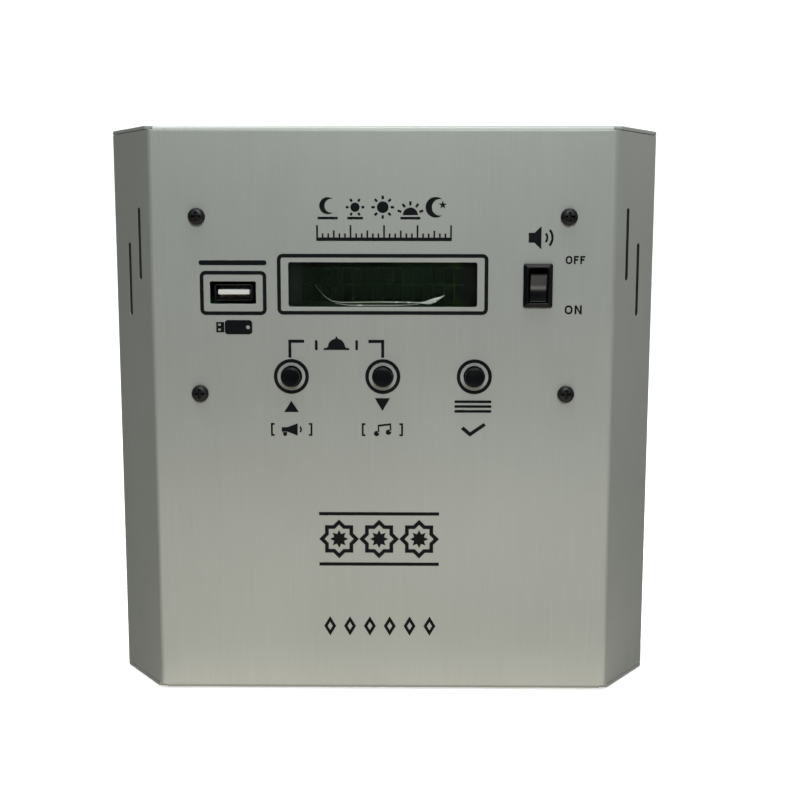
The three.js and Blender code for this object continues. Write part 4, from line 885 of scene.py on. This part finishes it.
# Each place on the film's loose lower edge: x, z, half height of its curl
FILM_EDGE = [
    (-23.6, 45.9, 0.03), (-22.6, 44.7, 0.04), (-21.2, 43.0, 0.05), (-19.6, 41.4, 0.07), (-17.6, 40.3, 0.11),
    (-14.5, 39.8, 0.15), (-8, 39.9, 0.13), (0, 40.0, 0.15), (8, 39.9, 0.14), (13, 39.7, 0.2),
    (14.8, 39.8, 0.45), (16.4, 40.1, 0.85), (18.2, 40.7, 0.8), (19.8, 41.4, 0.45), (21.6, 42.4, 0.06),
]
FILM_FOLD = [(-16.5, 39.5, 0.05), (-12, 38.9, 0.11), (-4, 38.85, 0.12), (6, 38.9, 0.11), (12.5, 39.2, 0.05)]
FILM_BACK = 1.19
FILM_DEEPEST = 0.5
FOLD_LIFT = 0.25


def film(places, lift=0):
    rings = []
    for x, z, high in places:
        deep = min(high, FILM_DEEPEST)
        rings.append([(x, FILM_BACK - deep + deep * a, z + high * b) for a, b in disc(0, 0, 1, 16)])
    return moved(skin(rings), depth=-lift, z=MID_Z)


piece("display_film", film(FILM_EDGE), clear_film, angle=50)
piece("display_film_fold", film(FILM_FOLD, FOLD_LIFT), clear_film, angle=50)


# Sockets in the rear cover, as (radius, depth) points
JACK = [
    (2.3, -9), (3.0, -9), (3.0, 0), (5.4, 0), (5.4, 1.0), (5.2, 1.2), (4.3, 1.2), (4.15, 1.35),
    (4.15, 8.75), (4.0, 9.0), (3.75, 9.0), (3.6, 8.8), (3.6, 1.5), (2.3, 1.5),
]
JACK_RING = [(1.75, 7.8), (3.4, 7.8), (3.45, 7.87), (3.4, 7.95), (1.8, 7.95)]
JACK_CONTACT = [(1.58, -0.9), (1.58, 7.5), (1.5, 7.6), (1.32, 7.6), (1.25, 7.4), (1.25, -0.9)]
INLET_PIN = [(0, 0), (1.22, 0), (1.22, 7.9), (1.0, 8.4), (0.6, 8.55), (0, 8.58)]
INLET_PIN_X = 4.3
INLET_PIN_DEEP = 50
SIDES = [("left", -1, looks["white_plastic"]), ("right", 1, ring_red)]

for (side, sign, color), x in zip(SIDES, AUDIO_X):
    place = (x, DEEP, AUDIO_Z + MID_Z)
    barrel = lathe(JACK, 56, loop=True)
    piece(f"audio_jack_{side}", moved(barrel, *place), gold, [f"audio_socket_{side}"])
    ring = lathe(JACK_RING, 48, loop=True)
    piece(f"audio_ring_{side}", moved(ring, *place), color)
    contact = lathe(JACK_CONTACT, 32, loop=True)
    piece(f"audio_contact_{side}", moved(contact, *place), looks["nickel"])
    pin = moved(lathe(INLET_PIN, 32), INLET[0] + sign * INLET_PIN_X, INLET_PIN_DEEP, INLET[1] + MID_Z)
    piece(f"inlet_pin_{side}", pin, looks["nickel"])


# Speaker cone with its roll surround and dust cap, as (radius, depth) points
CONE_FRONT = [
    (8.6, -6.2), (11.5, -4.6), (14.5, -2.9), (16.6, -1.75), (16.9, -1.7), (17.1, -1.3), (17.6, -0.8),
    (18.3, -0.5), (18.9, -0.55), (19.4, -0.85), (19.6, -0.95), (20.15, -0.9),
]
CONE_BACK = [
    (20.15, -1.2), (19.5, -1.25), (16.8, -2.1), (14.5, -3.25), (11.5, -4.95), (8.5, -6.6), (0, -6.85),
]


def dust_cap(radius=7.8, depth=-6.35, high=2.4, steps=8):
    quarter = [math.pi / 2 * i / steps for i in range(steps + 1)]
    return [(radius * math.sin(a), depth + high * math.cos(a)) for a in quarter]


cone = lathe(dust_cap() + CONE_FRONT + CONE_BACK, 72)
moved(cone, SPEAKER[0], DEEP - SHEET, SPEAKER[1] + MID_Z)
piece("speaker_paper", cone, looks["cone_paper"], ["speaker_cone"], angle=40)


# Prints: thin ink on the face, with arrows, frames and generic signs
INK_OUT = 0.03
INK_IN = 0.01
INK_EDGE = 0.004


def printed(name, outlines):
    placed = [[(x, z + MID_Z) for x, z in outline] for outline in outlines]
    piece(name, slab(placed, -INK_OUT, INK_IN, INK_EDGE), ink, angle=60)


def corner_line(x, z0, z1, far_x):
    """Up from z0 to z1, and then along to far_x."""
    inner = x + math.copysign(1.05, far_x - x)
    return [(x, z0), (inner, z0), (inner, z1 - 1.1), (far_x, z1 - 1.1), (far_x, z1), (x, z1)]


printed("print_display_frame", frame_line(-36.6, 35.6, 36.5, 56.6))
printed("print_usb_frame", frame_line(-63.4, 35.4, -40.3, 50.7))
printed("print_usb_bar", [rounded(USB[0], 53.5, 23.5, 1.7, 0.8)])
for name, x in BUTTONS.items():
    printed(f"print_ring_{name}", [disc(x, BUTTON_Z, 6.15, 64), disc(x, BUTTON_Z, 4.9, 64)])
printed("print_bracket_left", [corner_line(-32.95, 20.6, 26.9, -27.4)])
printed("print_bracket_right", [corner_line(0.5, 20.6, 26.9, -5.0)])
printed("print_arrow_up", [[(-34.7, 1.4), (-29.5, 1.4), (-32.1, 5.4)]])
printed("print_arrow_down", [[(-2.8, 6.4), (2.5, 6.4), (-0.15, 1.8)]])


def letter_o(x, z, width, height, line):
    middle = (x + width / 2, z + height / 2)
    inner = width - 2 * line
    return [rounded(*middle, width, height, width * 0.45),
            rounded(*middle, inner, height - 2 * line, inner * 0.4)]


def letter_f(x, z, width, height, line):
    mid = z + height * 0.42
    return [[(x, z), (x + line, z), (x + line, mid), (x + width * 0.85, mid), (x + width * 0.85, mid + line),
             (x + line, mid + line), (x + line, z + height - line), (x + width, z + height - line),
             (x + width, z + height), (x, z + height)]]


def letter_n(x, z, width, height, line):
    slant = line * 1.25
    return [[(x, z), (x + line, z), (x + line, z + height - slant * 1.3), (x + width - line, z),
             (x + width, z), (x + width, z + height), (x + width - line, z + height),
             (x + width - line, z + slant * 1.3), (x + line, z + height), (x, z + height)]]


printed("print_off", letter_o(63.1, 53.2, 2.3, 2.8, 0.6) + letter_f(65.9, 53.2, 1.7, 2.8, 0.6)
        + letter_f(68.1, 53.2, 1.7, 2.8, 0.6))
printed("print_on", letter_o(63.1, 35.9, 2.7, 3.1, 0.65) + letter_n(66.5, 35.9, 2.5, 3.1, 0.65))

# Loudspeaker sign over the rocker
printed("print_loudspeaker", [
    [(50.2, 60.5), (52.2, 60.5), (54.6, 58.2), (54.6, 66.2), (52.2, 63.9), (50.2, 63.9)],
    band(54.4, 62.2, 2.2, 0.7, -42, 42, 10),
    band(54.4, 62.2, 4.0, 0.8, -42, 42, 12),
])

# Memory stick sign under the USB socket
printed("print_stick", [
    rounded(-50.2, 31.2, 9.6, 5.0, 1.1), rounded(-46.9, 31.2, 1.3, 1.3, 0.6),
    box(-58.0, 29.4, -55.2, 33.0), box(-57.3, 31.7, -56.4, 32.4), box(-57.3, 30.0, -56.4, 30.7),
])


def brackets(x0, x1, z0, z1, line=0.65, foot=1.3):
    left = [(x0, z0), (x0 + foot, z0), (x0 + foot, z0 + line), (x0 + line, z0 + line), (x0 + line, z1 - line),
            (x0 + foot, z1 - line), (x0 + foot, z1), (x0, z1)]
    return [left, [(x0 + x1 - x, z) for x, z in reversed(left)]]


# Megaphone, note, list and check mark signs under the buttons
printed("print_megaphone", brackets(-39.4, -24.8, -7.1, -2.5) + [
    [(-35.6, -5.6), (-33.6, -5.6), (-30.0, -7.0), (-30.0, -2.6), (-33.6, -4.0), (-35.6, -4.0)],
    [(-35.0, -7.1), (-33.9, -7.1), (-33.7, -5.75), (-35.2, -5.75)],
    band(-30.4, -4.8, 1.6, 0.6, -38, 38, 8),
])
printed("print_note", brackets(-7.4, 7.1, -7.1, -2.5) + [
    disc(-2.2, -6.2, 0.95, 20), disc(2.0, -5.7, 0.95, 20),
    [(-1.78, -6.05), (-1.25, -6.05), (-1.25, -3.7), (2.42, -3.25), (2.42, -5.55), (2.95, -5.55),
     (2.95, -2.5), (-1.78, -3.05)],
])
printed("print_list", [rounded(31.6, z, 13.0, 0.95, 0.4) for z in (1.8, 3.5, 5.2)])
printed("print_check", [
    [(27.4, -4.5), (28.4, -3.6), (30.7, -5.6), (35.5, -2.3), (36.2, -3.3), (30.8, -7.1), (30.5, -7.1)],
])
printed("print_dome", [
    [(-20.6, 23.3), (-11.7, 23.3), (-11.7, 24.0), (-12.7, 24.0)] + arc(-16.15, 24.3, 3.0, 5, 80, 8)
    + [(-16.15, 28.2)] + arc(-16.15, 24.3, 3.0, 100, 175, 8) + [(-19.6, 24.0), (-20.6, 24.0)],
    rounded(-23.2, 25.0, 0.95, 3.6, 0.45), rounded(-9.1, 25.0, 0.95, 3.6, 0.45),
])


# The five times of the day, over a scale of its hours
SKY = 72.5
HORIZON = 69.8
RAY = 0.8


def rays(x, z, near, far, angles):
    return [spoke(x, z, near, far, RAY, a) for a in angles]


def ground(x, width):
    return rounded(x, HORIZON - 1.0, width, 0.9, 0.4)


printed("print_dawn", [crescent(-18.9, SKY + 0.5, 2.9), ground(-18.9, 7.0)])
printed("print_noon", [disc(0, SKY, 2.0, 32), *rays(0, SKY, 2.7, 3.9, range(0, 360, 45))])
printed("print_morning", [
    disc(-9.5, SKY, 1.6, 32), *rays(-9.5, SKY, 2.2, 3.2, range(0, 360, 60)), ground(-9.5, 5.6),
])
printed("print_evening", [
    arc(9.5, HORIZON, 2.6, 0, 180, 18), *rays(9.5, HORIZON, 3.3, 4.7, range(20, 161, 35)), ground(9.5, 7.0),
])
printed("print_night", [crescent(18.2, SKY, 3.5), star(20.6, SKY + 0.8, 1.5, 0.6, 5)])

TICK = 0.3
scale = [(-22.9, 61.0)]
for hour in range(25):
    x = -22.6 + hour * 46.1 / 24
    top = 66.4 if hour % 6 == 0 else 64.6 if hour % 3 == 0 else 63.6
    scale += [(x - TICK, 62.2), (x - TICK, top), (x + TICK, top), (x + TICK, 62.2)]
scale.append((23.8, 61.0))
printed("print_hours", [scale])

# A band of traditional eight pointed stars, and a row of diamonds
STAR_RINGS = [(7.1, 5.43), (5.2, 3.98), (3.3, 1.9)]
star_band = [box(-22.7, -35.7, 20.0, -34.5), box(-22.7, -54.1, 20.0, -52.9)]
for x in (-15.6, -1.35, 12.9):
    star_band += [star(x, -44.3, outer, inner, 8) for outer, inner in STAR_RINGS]
printed("print_star_band", star_band)
diamonds = []
for i in range(6):
    diamonds += [star(-19.0 + i * 7.15, -76.45, size, size * 0.6, 2) for size in (3.6, 1.5)]
printed("print_diamonds", diamonds)


# CAD pieces that stay: their edges are broken a little, and they get their finishes
WELD = 0.002
CAD_EDGE = 0.12
LEAD_EDGE = 0.03


def soften(name, material, edge):
    node = nodes[name]
    node.data.materials.clear()
    node.data.materials.append(material)
    weld = node.modifiers.new("weld", "WELD")
    weld.merge_threshold = WELD * MM
    if edge:
        bevel = node.modifiers.new("edges", "BEVEL")
        bevel.width = edge * MM
        bevel.segments = 2
        bevel.limit_method = "ANGLE"
        bevel.angle_limit = math.radians(32)
    normals = node.modifiers.new("normals", "WEIGHTED_NORMAL")
    normals.keep_sharp = True


cad_looks = {
    "control_board": looks["board_green"],
    "lcd_bezel": looks["black_metal"],
    "lcd_backlight": looks["white_plastic"],
    "lcd_board": looks["board_blue"],
    "lcd_pin_header": looks["black_plastic"],
    "speaker_frame": looks["black_metal"],
    "speaker_magnet": looks["core_steel"],
    "audio_socket_block": looks["black_plastic"],
    "mains_inlet": looks["black_plastic"],
    "main_board": looks["board_green"],
    "transformer_core": looks["core_steel"],
    "transformer_bobbin": looks["white_plastic"],
    "transformer_winding": looks["winding_tape"],
    "fuse": looks["fuse_glass"],
    "fuse_holder": tin,
    "regulator": chip_black,
    "heatsink": looks["black_metal"],
    "microcontroller": chip_black,
    "audio_decoder": chip_black,
    "battery_holder": looks["black_plastic"],
    "coin_cell": looks["nickel"],
    "control_header": looks["black_plastic"],
    "main_header": looks["black_plastic"],
    "ribbon_cable": looks["ribbon_grey"],
    "mains_lead": looks["wire_blue"],
    "audio_lead": looks["wire_red"],
    "speaker_lead": looks["wire_red"],
    "switch_lead": looks["wire_red"],
}
for i in (1, 2, 3):
    cad_looks[f"capacitor_{i}"] = looks["capacitor_sleeve"]
for name in BUTTONS:
    cad_looks[f"{name}_plunger"] = looks["white_plastic"]
    cad_looks[f"{name}_switch_body"] = looks["black_plastic"]
for name, material in cad_looks.items():
    edge = 0 if name == "ribbon_cable" else LEAD_EDGE if name.endswith("lead") else CAD_EDGE
    soften(name, material, edge)


# Stage, in metres: a pale floor that curves up all round, a dim surround, and soft lights
FLOOR_RADIUS = 1.2
FLOOR_MIDDLE_Y = -0.3
FLOOR_Z = -0.0003
FLOOR_GLOW = 0.36
SWEEP = 0.7
WALL = 2.9


def stage_sheet():
    """A light table: it glows a little, but lights nothing."""
    curve = arc(FLOOR_RADIUS, SWEEP, SWEEP, -90, 0, 12)
    profile = [(FLOOR_RADIUS / 10, 0), *curve, (FLOOR_RADIUS + SWEEP, WALL)]
    rings = [[(0, FLOOR_MIDDLE_Y, FLOOR_Z)]]
    for radius, z in profile:
        rings.append([(x, y, z + FLOOR_Z) for x, y in disc(0, FLOOR_MIDDLE_Y, radius, 96)])
    data = as_mesh("floor", skin(rings, closed_ends=False))
    data.shade_smooth()
    look = Look("floor_paper")
    cloud = look.noise((6, 6, 6), 3.0)
    look.feed("Base Color", look.ramp(cloud, [(0.3, (0.92, 0.915, 0.90)), (0.7, (0.93, 0.925, 0.91))]))
    look.feed("Roughness", look.span(cloud, 0.75, 0.9))
    look.set(Emission_Color=(1, 1, 1, 1), Emission_Strength=FLOOR_GLOW)
    look.material.cycles.emission_sampling = "NONE"
    data.materials.append(look.material)
    made = in_scene("floor", data)
    made.visible_diffuse = False
    made.visible_glossy = False
    made.visible_transmission = False
    made.visible_shadow = False


def area_light(name, energy, size, place, target, spread=180, color=(1, 1, 1)):
    data = bpy.data.lights.new(name, "AREA")
    data.energy = energy
    data.shape = "RECTANGLE"
    data.size, data.size_y = size
    data.spread = math.radians(spread)
    data.color = color
    made = in_scene(name, data)
    made.location = place
    made.rotation_euler = (Vector(target) - Vector(place)).to_track_quat("-Z", "Y").to_euler()


def surround(stops):
    """Light by height of direction, from -1 straight down to 1 straight up."""
    made = bpy.data.worlds.new("surround")
    made.use_nodes = True
    tree = made.node_tree
    parts = tree.nodes.new("ShaderNodeSeparateXYZ")
    tree.links.new(tree.nodes.new("ShaderNodeTexCoord").outputs["Generated"], parts.inputs[0])
    level = tree.nodes.new("ShaderNodeMapRange")
    level.inputs["From Min"].default_value = -1
    tree.links.new(parts.outputs["Z"], level.inputs["Value"])
    ramp = tree.nodes.new("ShaderNodeValToRGB")
    tree.links.new(level.outputs[0], ramp.inputs[0])
    elements = ramp.color_ramp.elements
    while len(elements) < len(stops):
        elements.new(0.5)
    for element, (height, strength, tint) in zip(elements, stops):
        element.position = (height + 1) / 2
        element.color = (*shade(tint, strength), 1)
    tree.links.new(ramp.outputs[0], tree.nodes["Background"].inputs["Color"])
    bpy.context.scene.world = made


WARM = (1.0, 0.91, 0.79)
COOL = (0.95, 1.0, 1.0)
stage_sheet()
surround([(-0.52, 0.52, WARM), (-0.36, 0.008, WARM), (0, 0.008, COOL), (0.5, 0.26, COOL)])
# Each light: watts, size, place and target in metres, spread in degrees, colour
area_light("key", 3.0, (0.5, 0.5), (0.13, -1.5, 1.0), (0, 0, 0.1), 80, COOL)
area_light("side", 0.3, (0.5, 0.5), (1.4, 0.15, 0.5), (0.09, -0.02, 0.1), 80)
area_light("bounce", 0.067, (0.26, 0.08), (-0.05, -0.17, 0.012), (-0.02, -0.03, 0.05), 180, WARM)
area_light("foot", 0.0118, (0.215, 0.028), (0.0225, -0.0445, 0.0004), (0.0225, -0.0445, 1), 180, WARM)
area_light("side_bounce", 0.03, (0.08, 0.1), (0.16, -0.17, 0.012), (0.07, -0.03, 0.05), 180, WARM)
area_light("card", 0.07, (0.08, 0.1), (0.08, -0.25, 0.005), (0.08, -0.25, 1))
area_light("rear", 2.6, (0.7, 0.7), (-0.6, 1.3, 1.2), (0, 0, 0.1), 80)
area_light("ceiling", 60, (2.2, 2.2), (0, 0.1, 2.6), (0, 0.1, 0))
bpy.context.scene.view_settings.view_transform = "Standard"
